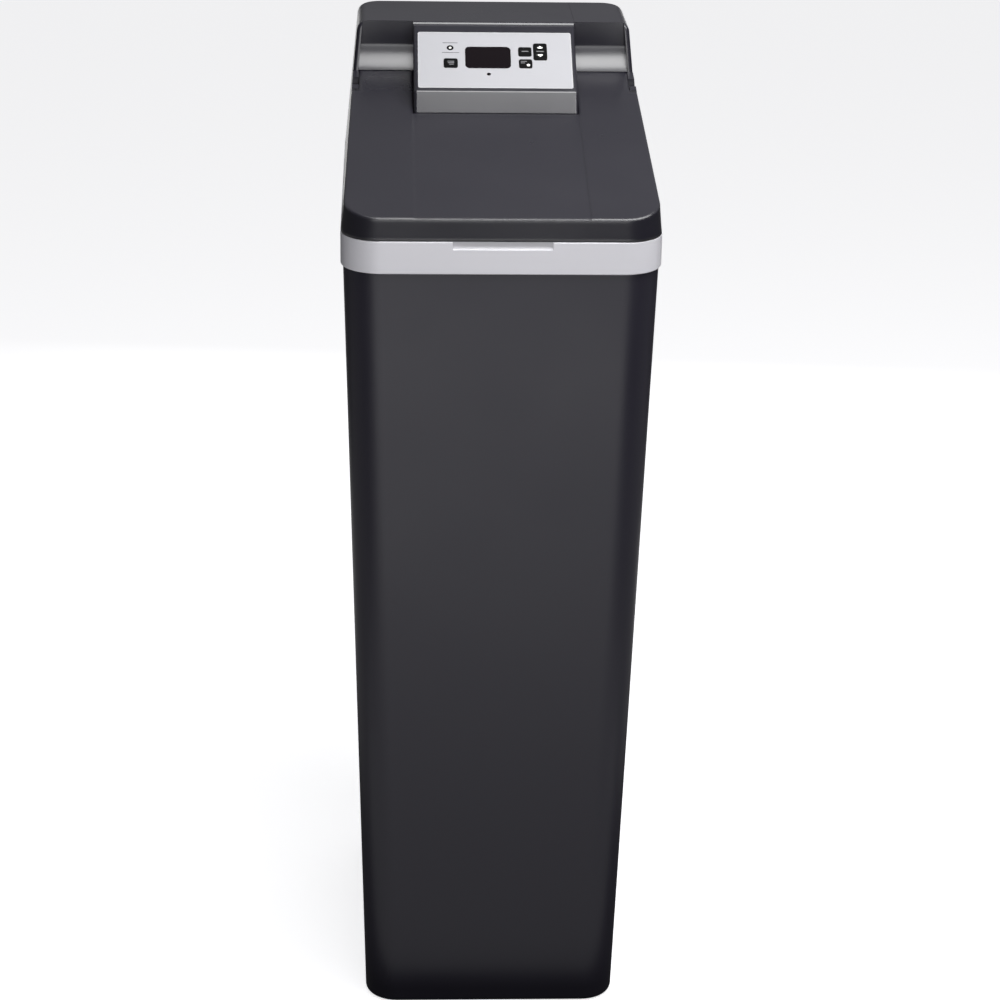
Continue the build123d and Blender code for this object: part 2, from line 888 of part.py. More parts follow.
def cut_panel(body):
    """Seat and window for the faceplate, and the bosses for the board tray."""
    seat = pad(
        faceplate_width + seat_gap, faceplate_height + seat_gap, faceplate_corner,
        0, faceplate_v, -pocket_depth, pod_round,
    )
    window = pad(
        faceplate_width - 2 * faceplate_ledge, faceplate_height - 2 * faceplate_ledge, faceplate_corner,
        0, faceplate_v, -2 * shell_wall, pod_round,
    )
    body = body - panel * seat - panel * window
    boss = Cylinder(tray_boss_radius, tray_boss_end - shell_wall + running_gap, align=(
        Align.CENTER, Align.CENTER, Align.MIN))
    hole = Cylinder(tray_screw_radius, tray_boss_end - shell_wall, align=(
        Align.CENTER, Align.CENTER, Align.MIN))
    for u, v in tray_screw_places():
        place = Pos(u, v, -tray_boss_end)
        body += panel * place * boss
        body -= panel * place * hole
    return body


def tray_screw_places():
    reaches = (-tray_screw_v_reach, tray_screw_v_reach)
    return [(side * tray_screw_u, faceplate_v + reach) for side in (-1, 1) for reach in reaches]


# Control panel
def panel_parts():
    """Width, height, corner, u and v of each upright opening in the faceplate."""
    v0 = faceplate_margin
    return {
        "display": (display_width, display_height, display_corner, display_u, v0 + display_v),
        "recharge": (recharge_width, recharge_height, key_corner, recharge_u, v0 + recharge_v),
        "select": (select_width, select_height, key_corner, select_u, v0 + select_v),
        "water": (water_width, water_height, key_corner, water_u, v0 + water_v),
        "rocker": (rocker_width, rocker_height, key_corner, rocker_u, v0 + rocker_v),
    }


def make_faceplate():
    plate = pad(
        faceplate_width, faceplate_height, faceplate_corner, 0, faceplate_v, -pocket_depth, faceplate_proud
    )
    gaps = {"rocker": rocker_gap, "display": running_gap}
    for name, (width, height, corner, u, v) in panel_parts().items():
        gap = gaps.get(name, key_gap)
        plate -= pad(
            width + 2 * gap, height + 2 * gap, corner + gap, u, v, -2 * pocket_depth, 2 * pocket_depth
        )
    for radius, u, v in ((status_radius, status_u, status_v), (lamp_radius, lamp_u, lamp_v)):
        hole = rod_z(radius + running_gap, -2 * pocket_depth, 2 * pocket_depth, u, faceplate_margin + v)
        plate -= hole
    return panel * plate


def make_key(name):
    width, height, corner, u, v = panel_parts()[name]
    flange_top = -pocket_depth - seat_gap
    flange_low = flange_top - key_flange_thickness
    cap = pad(width, height, corner, u, v, flange_low, key_proud)
    cap = fillet(cap.faces().sort_by(Axis.Z)[-1].edges(), key_gap)
    flange = pad(
        width + 2 * key_flange, height + 2 * key_flange, corner, u, v, flange_low, flange_top
    )
    return panel * (cap + flange)


def make_rocker():
    width, height, corner, u, v = panel_parts()["rocker"]
    flange_top = -pocket_depth - key_flange_thickness
    flange_low = flange_top - key_flange
    cap = pad(width, height, corner, u, v, flange_low, key_proud)
    cap = fillet(cap.faces().sort_by(Axis.Z)[-1].edges(), key_gap)
    flange = pad(width, height + 2 * key_flange, corner, u, v, flange_low, flange_top)
    rib_end = -rocker_pin_depth - 2 * rocker_pin_radius + seat_gap
    rib = block(
        (u - rocker_rib / 2, u + rocker_rib / 2),
        (v - 2 * rocker_pin_radius, v + 2 * rocker_pin_radius),
        (rib_end, flange_low + running_gap),
    )
    pin = rod_x(rocker_pin_radius, u - rocker_rib, u + rocker_rib, v, -rocker_pin_depth)
    return panel * (cap + flange + rib + pin)


def make_display_window():
    width, height, corner, u, v = panel_parts()["display"]
    window = pad(width, height, corner, u, v, -pocket_depth - window_back, key_gap / 2)
    flange = pad(
        width + 2 * window_flange, height + 2 * window_flange, corner, u, v,
        -pocket_depth - window_back, -pocket_depth,
    )
    return panel * (window + flange)


def make_display_module():
    width, height, corner, u, v = panel_parts()["display"]
    side = window_flange
    body = block(
        (u - width / 2 - side, u + width / 2 + side), (v - height / 2 - side, v + height / 2 + side),
        (board_top, board_top + module_thickness),
    )
    glass = pad(
        width, height, corner, u, v, board_top + module_thickness - overrun / 2, board_top + module_thickness
    )
    frame = pad(
        width - side, height - side, corner, u, v,
        board_top + module_thickness - overrun / 2, board_top + module_thickness + overrun,
    )
    return panel * (body - (frame - glass))


def make_status_lens():
    v = faceplate_margin + status_v
    lens = rod_z(status_radius, -pocket_depth, faceplate_proud, status_u, v)
    flange = rod_z(
        status_radius + key_flange, -pocket_depth - key_flange_thickness, -pocket_depth, status_u, v
    )
    return panel * (lens + flange)


def make_lamp_bezel():
    v = faceplate_margin + lamp_v
    ring = rod_z(lamp_radius, -pocket_depth, 2 * faceplate_proud, lamp_u, v)
    ring += rod_z(
        lamp_radius + key_flange, -pocket_depth - key_flange_thickness, -pocket_depth, lamp_u, v
    )
    return panel * (ring - rod_z(
        lamp_lens_radius + running_gap, -2 * pocket_depth - key_flange_thickness, overrun, lamp_u, v
    ))


def make_lamp_lens():
    v = faceplate_margin + lamp_v
    lens = rod_z(lamp_lens_radius, -pocket_depth - key_flange_thickness, 2 * faceplate_proud, lamp_u, v)
    return panel * fillet(lens.edges().sort_by(Axis.Z)[-1], faceplate_proud)


def make_control_board():
    board = block(
        (-board_width / 2, board_width / 2),
        (faceplate_v - board_height / 2, faceplate_v + board_height / 2),
        (board_low, board_top),
    )
    switch = Box(switch_side, switch_side, switch_height, align=(Align.CENTER, Align.CENTER, Align.MIN))
    plunger = Cylinder(switch_side / 4, switch_height, align=(Align.CENTER, Align.CENTER, Align.MIN))
    spots = [panel_parts()[name][3:] for name in ("recharge", "select", "water")]
    for u, v in spots:
        board += Pos(u, v, board_top) * Box(
            switch_side, switch_side, switch_height - key_travel, align=(Align.CENTER, Align.CENTER, Align.MIN)
        )
        board += Pos(u, v, board_top) * plunger
    width, height, corner, u, v = panel_parts()["rocker"]
    for end in (-1, 1):
        board += Pos(u, v + end * height / 3, board_top) * switch
        post = block(
            (u + end * rocker_rib - rocker_pin_radius, u + end * rocker_rib + rocker_pin_radius),
            (v - 2 * rocker_pin_radius, v + 2 * rocker_pin_radius),
            (board_top, -rocker_pin_depth + 2 * rocker_pin_radius - seat_gap),
        )
        board += post
    reach = rocker_rib + rocker_pin_radius + seat_gap
    board -= rod_x(rocker_pin_radius + running_gap, u - reach, u + reach, v, -rocker_pin_depth)
    for lamp_place in ((status_u, status_v), (lamp_u, lamp_v)):
        board += rod_z(
            lamp_lens_radius, board_top, -pocket_depth - key_flange_thickness - seat_gap,
            lamp_place[0], faceplate_margin + lamp_place[1],
        )
    transformer = (4 * switch_side, 3 * switch_side, 2 * switch_side - tray_wall)
    board += Pos(-board_width / 4, faceplate_v - board_height / 6, board_low) * Box(
        *transformer, align=(Align.CENTER, Align.CENTER, Align.MAX)
    )
    socket_count = 3
    for i in range(socket_count):
        board += Pos(board_width / 8 + i * 3 * switch_side, faceplate_v + board_height / 4, board_low) * Box(
            2 * switch_side, switch_side, switch_side, align=(Align.CENTER, Align.CENTER, Align.MAX)
        )
    return panel * board


def make_board_tray():
    width = board_width - 2 * tray_inset
    height = board_height - 2 * tray_inset
    body = pad(width, height, tray_corner, 0, faceplate_v, -tray_depth, board_low)
    body -= pad(
        width - 2 * tray_wall, height - 2 * tray_wall, tray_corner - tray_wall, 0, faceplate_v,
        -tray_depth + tray_wall, board_low + overrun,
    )
    for u, v in tray_screw_places():
        side = 1 if u > 0 else -1
        arm = block(
            (min(u, side * width / 2), max(u, side * width / 2)),
            (v - tray_boss_radius, v + tray_boss_radius),
            (-tray_boss_end - tray_ear_thickness, -tray_boss_end),
        )
        ear = rod_z(tray_boss_radius, -tray_boss_end - tray_ear_thickness, -tray_boss_end, u, v)
        hole = rod_z(
            tray_screw_radius + running_gap, -tray_boss_end - 2 * tray_ear_thickness, overrun, u, v
        )
        body += arm + ear
        body -= hole
    return panel * body


def make_tray_screws():
    screws = []
    low = -tray_boss_end - tray_ear_thickness
    for u, v in tray_screw_places():
        shank = rod_z(tray_screw_radius, low, -shell_wall - 2 * tray_ear_thickness, u, v)
        head = rod_z(tray_screw_head_radius, low - tray_screw_head_height, low, u, v)
        screws.append(panel * (shank + head))
    return together(screws)


# Resin tank and what it holds
def tank_outline(inset):
    """Half section of the tank, as lines and arcs from the axis outwards."""
    radius = tank_radius - inset
    foot = tank_foot_radius - inset
    low = tank_floor + inset
    wall_low = tank_floor + tank_foot_rise
    bulge = ((foot + (radius - foot) * sin(pi / 4)), wall_low - (wall_low - low) * cos(pi / 4))
    neck = neck_radius - inset
    if inset:
        neck = neck_bore_radius
    dome_low = cylinder_top
    dome_high = shoulder_z - inset
    dome_mid = (
        neck + (radius - neck) * cos(pi / 4),
        dome_low + (dome_high - dome_low) * sin(pi / 4),
    )
    lines = [
        Line((0, low), (foot, low)),
        ThreePointArc((foot, low), bulge, (radius, wall_low)),
        Line((radius, wall_low), (radius, dome_low)),
        ThreePointArc((radius, dome_low), dome_mid, (neck, dome_high)),
    ]
    top = tank_top + (overrun if inset else 0)
    if inset:
        lines.append(Line((neck, dome_high), (neck, top)))
        lines.append(Line((neck, top), (0, top)))
    else:
        lines.append(Line((neck, dome_high), (neck, neck_flange_low)))
        lines.append(Line((neck, neck_flange_low), (flange_radius, neck_flange_low)))
        lines.append(Line((flange_radius, neck_flange_low), (flange_radius, top)))
        lines.append(Line((flange_radius, top), (0, top)))
    lines.append(Line((0, top), (0, low)))
    return Plane.XZ * make_face(Wire(lines))


def make_resin_tank():
    shell = revolve(tank_outline(0), Axis.Z) - revolve(tank_outline(tank_wall), Axis.Z)
    return Pos(tank_x, tank_y, 0) * shell


def basket(radius, low, high):
    """Slotted distributor basket round the riser tube, with a closed end plate."""
    body = rod_z(radius, low, high) - rod_z(radius - basket_wall, low + basket_wall, high - basket_wall)
    height = high - low
    slot = Box(radius, basket_slot_width, height - 4 * basket_wall)
    slots = in_circle(basket_slots, radius, Pos(0, 0, (low + high) / 2) * slot)
    for cutter in slots:
        body -= cutter
    return body


def make_bottom_distributor():
    low = tank_floor + tank_wall + basket_floor_gap
    body = basket(basket_radius, low, low + basket_height)
    body += rod_z(riser_radius + basket_wall, low + basket_wall / 2, low + basket_height)
    body -= rod_z(riser_radius + running_gap, low + basket_wall, low + basket_height + overrun)
    body += rod_z(basket_radius / 2, tank_floor + tank_wall + running_gap, low + basket_wall / 2)
    return Pos(tank_x, tank_y, 0) * body


def make_riser_tube():
    low = tank_floor + tank_wall + basket_floor_gap + basket_wall
    high = cup_low + cup_floor / 2
    body = rod_z(riser_radius, low, high) - rod_z(riser_bore_radius, low - overrun, high + overrun)
    return Pos(tank_x, tank_y, 0) * body


def make_top_distributor():
    high = tank_top - valve_spigot_length
    low = high - upper_basket_height
    body = basket(upper_basket_radius, low, high)
    body -= rod_z(riser_radius + seat_gap, low - overrun, high + overrun)
    return Pos(tank_x, tank_y, 0) * body


def make_resin_bed():
    inset = tank_wall + resin_side_gap
    bed = revolve(tank_outline(inset), Axis.Z)
    bed &= rod_z(tank_radius, tank_floor, tank_floor + resin_height)
    low = tank_floor + tank_wall + basket_floor_gap
    bed -= rod_z(riser_radius + basket_wall + resin_side_gap, 0, resin_height + tank_radius)
    bed -= rod_z(basket_radius + resin_side_gap, 0, low + basket_height + resin_side_gap)
    return Pos(tank_x, tank_y, 0) * bed


def clamp_half():
    """Half of the C-section clamp round the tank's flange and the valve's flange."""
    low = neck_flange_low
    high = tank_top + flange_thickness
    outer = flange_radius + clamp_wall + seat_gap
    ring = rod_z(outer, low - clamp_lip, high + clamp_lip)
    ring -= rod_z(flange_radius + seat_gap, low - seat_gap, high + seat_gap)
    ring -= rod_z(neck_radius + seat_gap, low - 2 * clamp_lip, high + 2 * clamp_lip)
    lug = block(
        (outer - clamp_wall, outer + clamp_lug_reach), (0, clamp_lug_width / 2),
        (tank_top - flange_thickness, tank_top + flange_thickness),
    )
    ring = ring + lug + mirror(lug, about=Plane.YZ)
    ring &= block((-2 * outer, 2 * outer), (clamp_split / 2, 2 * outer), (0, overall_height))
    hole_x = outer + clamp_lug_reach / 2
    for side in (-1, 1):
        ring -= rod_y(
            clamp_screw_radius + running_gap, -clamp_lug_width, clamp_lug_width, side * hole_x, tank_top
        )
    return ring


def make_tank_clamp():
    half = clamp_half()
    pair = together([half, mirror(half, about=Plane.XZ)])
    return Pos(tank_x, tank_y, 0) * pair


def make_clamp_screws():
    hole_x = flange_radius + clamp_wall + seat_gap + clamp_lug_reach / 2
    reach = clamp_lug_width / 2
    screws = []
    for side in (-1, 1):
        x = side * hole_x
        shank = rod_y(clamp_screw_radius, -reach, reach, x, tank_top)
        head = rod_y(2 * clamp_screw_radius, reach, reach + clamp_screw_radius, x, tank_top)
        nut = extrude(
            Plane.XZ.offset(reach) * Pos(x, tank_top) * RegularPolygon(2 * clamp_screw_radius, 6),
            amount=clamp_screw_radius,
        )
        screws.append(shank + head + nut)
    return Pos(tank_x, tank_y, 0) * together(screws)


def make_tank_seal():
    major = neck_bore_radius - tank_seal_radius - running_gap
    ring = Torus(major, tank_seal_radius)
    return Pos(tank_x, tank_y, tank_top - valve_spigot_length / 2) * ring


# Control valve
def ports(radius, reach):
    return [rod_y(radius, 0, reach, side * port_pitch / 2, port_z) for side in (-1, 1)]


def make_valve_body():
    body = rod_z(valve_spigot_radius, tank_top - valve_spigot_length, tank_top)
    body += rod_z(flange_radius, tank_top, tank_top + flange_thickness)
    body += rod_z(valve_neck_radius, tank_top, cup_low)
    body += rod_z(cup_radius, cup_low, cup_high)
    body += rod_z(cup_flange_radius, cup_high - cup_flange_thickness, cup_high)
    for port in ports(port_radius, port_reach):
        body += port
    for side in (-1, 1):
        body += rod_y(rib_radius, port_reach - rib_width, port_reach, side * port_pitch / 2, port_z)
    arm_end = venturi_x - tank_x + venturi_radius
    body += rod_x(venturi_arm_radius, arm_end, 0, venturi_dy, port_z)
    drain_end = cup_radius + drain_boss_length
    body += rod_x(drain_boss_radius, 0, drain_end, drain_dy, port_z)
    body -= rod_z(cup_bore_radius, cup_low + cup_floor, cup_high + overrun)
    bore_from = sqrt(cup_bore_radius**2 - (port_pitch / 2) ** 2) - rib_width
    for side in (-1, 1):
        body -= rod_y(port_bore_radius, bore_from, port_reach + overrun, side * port_pitch / 2, port_z)
    body -= rod_x(water_way_radius / 2, arm_end - overrun, -cup_bore_radius + rib_width, venturi_dy, port_z)
    body -= rod_x(water_way_radius / 2, cup_bore_radius - rib_width, drain_end + overrun, drain_dy, port_z)
    body -= rod_z(riser_radius + running_gap, 0, cup_low + cup_floor / 2)
    body -= rod_z(riser_bore_radius, 0, cup_low + cup_floor + overrun)
    groove_z = tank_top - valve_spigot_length / 2
    groove_depth = 2 * tank_seal_radius
    groove = rod_z(valve_spigot_radius + overrun, groove_z - tank_seal_radius - running_gap,
                   groove_z + tank_seal_radius + running_gap)
    body -= groove - rod_z(neck_bore_radius - groove_depth - 2 * running_gap, 0, cup_low)
    hole = rod_z(cover_screw_radius, cover_top - cover_screw_length - overrun, cup_high + overrun)
    for cutter in in_circle(cover_screw_count, cover_screw_circle, hole):
        body -= cutter
    return Pos(tank_x, tank_y, 0) * body


def make_rotor_seal():
    seal = rod_z(seal_radius, cup_low + cup_floor, cup_low + cup_floor + seal_thickness)
    seal -= rod_z(riser_bore_radius, 0, cup_high)
    window = rod_z(rotor_window_radius, 0, cup_high)
    for cutter in in_circle(rotor_windows, rotor_window_circle, window):
        seal -= cutter
    return Pos(tank_x, tank_y, 0) * seal


def flatted(radius, low, high):
    """Shaft end with one flat, as for a D-shaped bore."""
    shaft = rod_z(radius, low, high)
    return shaft - block(
        (radius - shaft_flat_depth, 2 * radius), (-2 * radius, 2 * radius), (low, high)
    )


def make_rotor_disc():
    disc = rod_z(rotor_radius, rotor_low, rotor_high)
    window = rod_z(rotor_window_radius, rotor_low - overrun, rotor_low + rotor_disc_thickness / 2)
    for cutter in in_circle(rotor_windows, rotor_window_circle, window):
        disc -= cutter
    hub_high = cover_low - washer_thickness - washer_wave - seat_gap
    disc += rod_z(rotor_hub_radius, rotor_high - overrun, hub_high)
    disc += rod_z(shaft_radius, hub_high - overrun, gear_low)
    disc += flatted(shaft_radius, gear_low - running_gap, gear_high)
    disc += rod_z(shaft_radius / 2, gear_high - overrun, plate_high)
    return Pos(tank_x, tank_y, 0) * disc


def make_wave_washer():
    low = cover_low - washer_thickness - running_gap
    washer = rod_z(washer_radius, low, low + washer_thickness)
    washer -= rod_z(washer_bore_radius, low - overrun, cover_top)
    ridge = rod_x(washer_wave, washer_bore_radius + overrun, washer_radius - overrun, 0, low)
    for turn in (0, 90, 180, 270):
        washer += Rot(0, 0, turn) * ridge
    return Pos(tank_x, tank_y, 0) * washer


def make_valve_cover():
    cover = rod_z(cup_flange_radius, cover_low, cover_top)
    cover = chamfer(cover.faces().sort_by(Axis.Z)[-1].edges(), overrun)
    cover -= rod_z(shaft_radius + running_gap, cover_low - overrun, cover_top + overrun)
    hole = rod_z(cover_screw_radius + running_gap, cover_low - overrun, cover_top + overrun)
    for cutter in in_circle(cover_screw_count, cover_screw_circle, hole):
        cover -= cutter
    return Pos(tank_x, tank_y, 0) * cover


def make_cover_screws():
    low = cover_top - cover_screw_length
    screw = rod_z(cover_screw_radius, low, cover_top)
    screw += rod_z(cover_screw_head_radius, cover_top, cover_top + cover_screw_head_height)
    screws = in_circle(cover_screw_count, cover_screw_circle, screw)
    return Pos(tank_x, tank_y, 0) * together(screws)


# Gears
def involute(base, reach):
    """Point of an involute whose base circle is given, at a distance reach from the centre."""
    roll = sqrt(max((reach / base) ** 2 - 1, 0))
    return reach, roll - atan2(roll, 1)


def gear_face(teeth, turn):
    """Spur gear outline with involute flanks, thinned by the backlash."""
    pitch = gear_module * teeth / 2
    base = pitch * cos(radians(pressure_angle))
    tip = pitch + gear_module
    root = pitch - gear_module - gear_module / 4
    start = max(base, root)
    pitch_roll = involute(base, pitch)[1]
    half_tooth = pi / teeth / 2 - mesh_backlash / 2 / pitch
    levels = [start, pitch, tip]
    flank = []
    for level in levels:
        reach, roll = involute(base, level)
        flank.append((reach, half_tooth + pitch_roll - roll))
    points = []
    for i in range(teeth):
        middle = radians(turn) + 2 * pi * i / teeth
        foot = flank[0][1]
        points.append((root, middle - foot))
        points += [(reach, middle - angle) for reach, angle in flank if reach > root]
        points += [(reach, middle + angle) for reach, angle in reversed(flank) if reach > root]
        points.append((root, middle + foot))
    return make_face(Polyline(*[(r * cos(a), r * sin(a)) for r, a in points], close=True))


def make_cam_gear():
    gear = extrude(Plane.XY.offset(gear_low) * gear_face(cam_gear_teeth, drive_angle), amount=gear_width)
    root = gear_radius - 2 * gear_module
    recess_low = gear_low + gear_web
    recess = rod_z(root - gear_rim, recess_low, gear_high + overrun)
    recess -= rod_z(gear_hub_radius, recess_low - overrun, gear_high + overrun)
    gear -= recess
    cam_low = gear_low - cam_thickness
    cam = rod_z(cam_radius - cam_lobe, cam_low, gear_low)
    lobe = block(
        (0, cam_radius), (-switch_arm_width, switch_arm_width), (cam_low, gear_low)
    ) & rod_z(cam_radius, cam_low, gear_low)
    for i in range(cam_lobe_count):
        cam += Rot(0, 0, switch_angle + 40 + 360 * i / cam_lobe_count) * lobe
    gear += cam
    gear -= flatted(shaft_radius + running_gap, cam_low - overrun, gear_high + overrun)
    gear -= rod_z(shaft_radius + running_gap, cam_low - overrun, gear_low)
    return Pos(tank_x, tank_y, 0) * gear


def make_motor_pinion():
    half_turn = 180 / pinion_teeth
    face = gear_face(pinion_teeth, drive_angle + 180 + half_turn)
    pinion = extrude(Plane.XY.offset(gear_low) * face, amount=gear_width)
    pinion -= rod_z(motor_shaft_radius + running_gap, gear_low - overrun, gear_high + overrun)
    return Pos(drive_x, drive_y, 0) * pinion


def make_motor_plate():
    reach = gear_centres
    neck = block((0, reach), (-plate_hub_radius / 2, plate_hub_radius / 2), (plate_low, plate_high))
    plate = rod_z(plate_hub_radius, plate_low, plate_high)
    plate += Rot(0, 0, drive_angle) * (
        neck + rod_z(motor_ear_circle + motor_ear_radius, plate_low, plate_high, reach)
    )
    for angle in pillar_angles:
        arm = block((0, pillar_circle), (-pillar_radius, pillar_radius), (plate_low, plate_high))
        arm += rod_z(pillar_radius, cover_top, plate_high, pillar_circle)
        arm -= rod_z(plate_screw_radius, plate_low - 2 * plate_thickness, plate_high + overrun, pillar_circle)
        plate += Rot(0, 0, angle) * arm
    for angle in pillar_angles:
        hole = rod_z(plate_screw_radius, plate_low - 2 * plate_thickness, plate_high + overrun, pillar_circle)
        plate -= Rot(0, 0, angle) * hole
    plate -= rod_z(shaft_radius / 2 + running_gap, plate_low - overrun, plate_high + overrun)
    bore = rod_z(motor_shaft_radius + seat_gap, plate_low - overrun, plate_high + overrun, reach)
    plate -= Rot(0, 0, drive_angle) * bore
    for x, y in motor_screw_places():
        plate -= rod_z(plate_screw_radius, plate_low - overrun, plate_high + overrun, x, y)
    return Pos(tank_x, tank_y, 0) * plate


def motor_screw_places():
    """Screw places of the motor's two ears, from the valve's axis."""
    cx = gear_centres * cos(radians(drive_angle))
    cy = gear_centres * sin(radians(drive_angle))
    across = radians(drive_angle + 90)
    return [
        (cx + side * motor_ear_circle * cos(across), cy + side * motor_ear_circle * sin(across))
        for side in (-1, 1)
    ]


def make_plate_screws():
    screws = []
    for angle in pillar_angles:
        shank = rod_z(plate_screw_radius - running_gap, plate_low - plate_thickness, plate_high, pillar_circle)
        head = rod_z(
            plate_screw_head_radius, plate_high, plate_high + plate_screw_head_height, pillar_circle
        )
        screws.append(Rot(0, 0, angle) * (shank + head))
    return Pos(tank_x, tank_y, 0) * together(screws)


def make_drive_motor():
    low = plate_high
    middle = low + motor_gearbox_height
    body = rod_z(motor_gearbox_radius, low, middle)
    can = rod_z(motor_radius, middle, middle + motor_height)
    can = fillet(can.edges().filter_by(GeomType.CIRCLE), motor_edge_round)
    body += can
    ear = block((0, motor_ear_circle), (-motor_ear_radius, motor_ear_radius), (low, low + motor_ear_thickness))
    ear += rod_z(motor_ear_radius, low, low + motor_ear_thickness, motor_ear_circle)
    ear -= rod_z(plate_screw_radius, low - overrun, low + 2 * motor_ear_thickness, motor_ear_circle)
    for turn in (drive_angle + 90, drive_angle - 90):
        body += Rot(0, 0, turn) * ear
    body += rod_z(motor_shaft_radius, gear_low, low)
    return Pos(drive_x, drive_y, 0) * body


def make_motor_screws():
    low = plate_high + motor_ear_thickness
    screws = []
    for x, y in motor_screw_places():
        shank = rod_z(plate_screw_radius - running_gap, plate_low - overrun, low, x, y)
        head = rod_z(plate_screw_head_radius, low, low + plate_screw_head_height, x, y)
        screws.append(shank + head)
    return Pos(tank_x, tank_y, 0) * together(screws)


def make_position_switch():
    """Microswitch on the valve cover whose arm reaches towards the cam under the gear."""
    inner = gear_radius + gear_module + 2 * overrun
    body = block(
        (inner, inner + switch_body_width), (-switch_body_length / 2, switch_body_length / 2),
        (cover_top, cover_top + switch_body_height),
    )
    arm_z = gear_low - cam_thickness / 2
    arm = block(
        (cam_radius + seat_gap, inner + overrun),
        (-switch_arm_width / 2, switch_arm_width / 2),
        (arm_z - switch_arm_thickness / 2, arm_z + switch_arm_thickness / 2),
    )
    return Pos(tank_x, tank_y, 0) * Rot(0, 0, switch_angle) * (body + arm)


# Nozzle and venturi
def make_venturi_housing():
    body = rod_z(venturi_radius, venturi_low, venturi_high)
    body -= rod_z(venturi_bore_radius, venturi_low + venturi_floor, venturi_high + overrun)
    boss_top = port_z
    body += rod_z(brine_boss_radius, brine_boss_z, boss_top, 0, brine_boss_dy)
    side = block(
        (-brine_boss_radius, brine_boss_radius),
        (brine_boss_dy, -venturi_bore_radius - overrun),
        (venturi_low, boss_top),
    )
    body += side
    body -= rod_z(tube_radius + running_gap, brine_boss_z - overrun, brine_boss_z + tube_socket, 0, brine_boss_dy)
    body -= rod_z(tube_bore_radius, brine_boss_z, boss_top - tube_bore_radius, 0, brine_boss_dy)
    body -= rod_x(water_way_radius / 2, venturi_bore_radius - overrun, venturi_radius + overrun, 0, port_z)
    return Pos(venturi_x, venturi_y, 0) * body


def make_nozzle_insert():
    low = venturi_low + venturi_floor
    body = rod_z(nozzle_radius, low, low + nozzle_thickness)
    body += rod_z(nozzle_radius / 2, low, low + 2 * nozzle_thickness)
    body -= rod_z(nozzle_hole_radius, 0, overall_height)
    for side in (-1, 1):
        body -= rod_z(nozzle_hole_radius, 0, overall_height, side * (nozzle_radius - 2 * nozzle_hole_radius))
    return Pos(venturi_x, venturi_y, 0) * body


def make_venturi_cap():
    high = venturi_high + venturi_cap_top
    low = high - venturi_cap_height
    cap = rod_z(venturi_cap_radius, low, high)
    for groove in in_circle(venturi_grips, venturi_cap_radius + overrun, rod_z(venturi_grip_radius, low, high)):
        cap -= groove
    cap -= rod_z(venturi_radius + running_gap, low - overrun, venturi_high)
    return Pos(venturi_x, venturi_y, 0) * cap


# Flow turbine in the outlet
def make_turbine_support():
    """Ring with spokes and the pin that carries the turbine."""
    front = turbine_depth
    ring = rod_y(port_bore_radius - running_gap, -front, -front + support_ring)
    ring -= rod_y(port_bore_radius - support_ring, -front - overrun, -front + 2 * support_ring)
    spoke = block(
        (-port_bore_radius + support_ring / 2, port_bore_radius - support_ring / 2),
        (-front, -front + support_ring), (-support_spoke / 2, support_spoke / 2),
    )
    ring += spoke + Rot(0, 90, 0) * spoke
    ring += rod_y(turbine_hub_radius, -front, -front + support_ring)
    ring += rod_y(turbine_pin_radius, -front, -front + support_ring + turbine_length + 2 * seat_gap)
    return Pos(outlet_x, port_end_y, port_z) * ring


def make_flow_turbine():
    low = -turbine_depth + support_ring + seat_gap
    rotor = rod_y(turbine_hub_radius, low, low + turbine_length)
    blade = block(
        (turbine_hub_radius / 2, turbine_radius), (-turbine_length / 2, turbine_length / 2),
        (-turbine_blade_width / 2, turbine_blade_width / 2),
    )
    for i in range(turbine_blades):
        pitched = Rot(drive_angle / 2, 0, 0) * blade
        pitched &= rod_y(turbine_radius, -turbine_length, turbine_length)
        rotor += Rot(0, 360 * i / turbine_blades, 0) * Pos(0, low + turbine_length / 2, 0) * pitched
    rotor &= rod_y(turbine_radius, low, low + turbine_length)
    rotor -= rod_y(turbine_pin_radius + running_gap, low - overrun, low + turbine_length + overrun)
    return Pos(outlet_x, port_end_y, port_z) * rotor


# Bypass valve
def make_bypass_body():
    body = rod_x(barrel_radius, -barrel_length / 2, barrel_length / 2, barrel_y, port_z)
    for side in (-1, 1):
        x = side * port_pitch / 2
        body += rod_y(port_radius, bypass_y, bypass_end_y, x, port_z)
        body += rod_y(rib_radius, bypass_y, bypass_y + rib_width, x, port_z)
        body += rod_y(rib_radius, bypass_end_y - rib_width, bypass_end_y, x, port_z)
        body += rod_y(spigot_radius, bypass_y - spigot_length, bypass_y, x, port_z)
    body -= rod_x(barrel_bore_radius, -barrel_length, barrel_length, barrel_y, port_z)
    for side in (-1, 1):
        x = side * port_pitch / 2
        body -= rod_y(water_way_radius, bypass_y - spigot_length - overrun, bypass_end_y + overrun, x, port_z)
    return Pos(tank_x, 0, 0) * body


def spool_centres():
    return (-port_pitch / 2, port_pitch / 2)


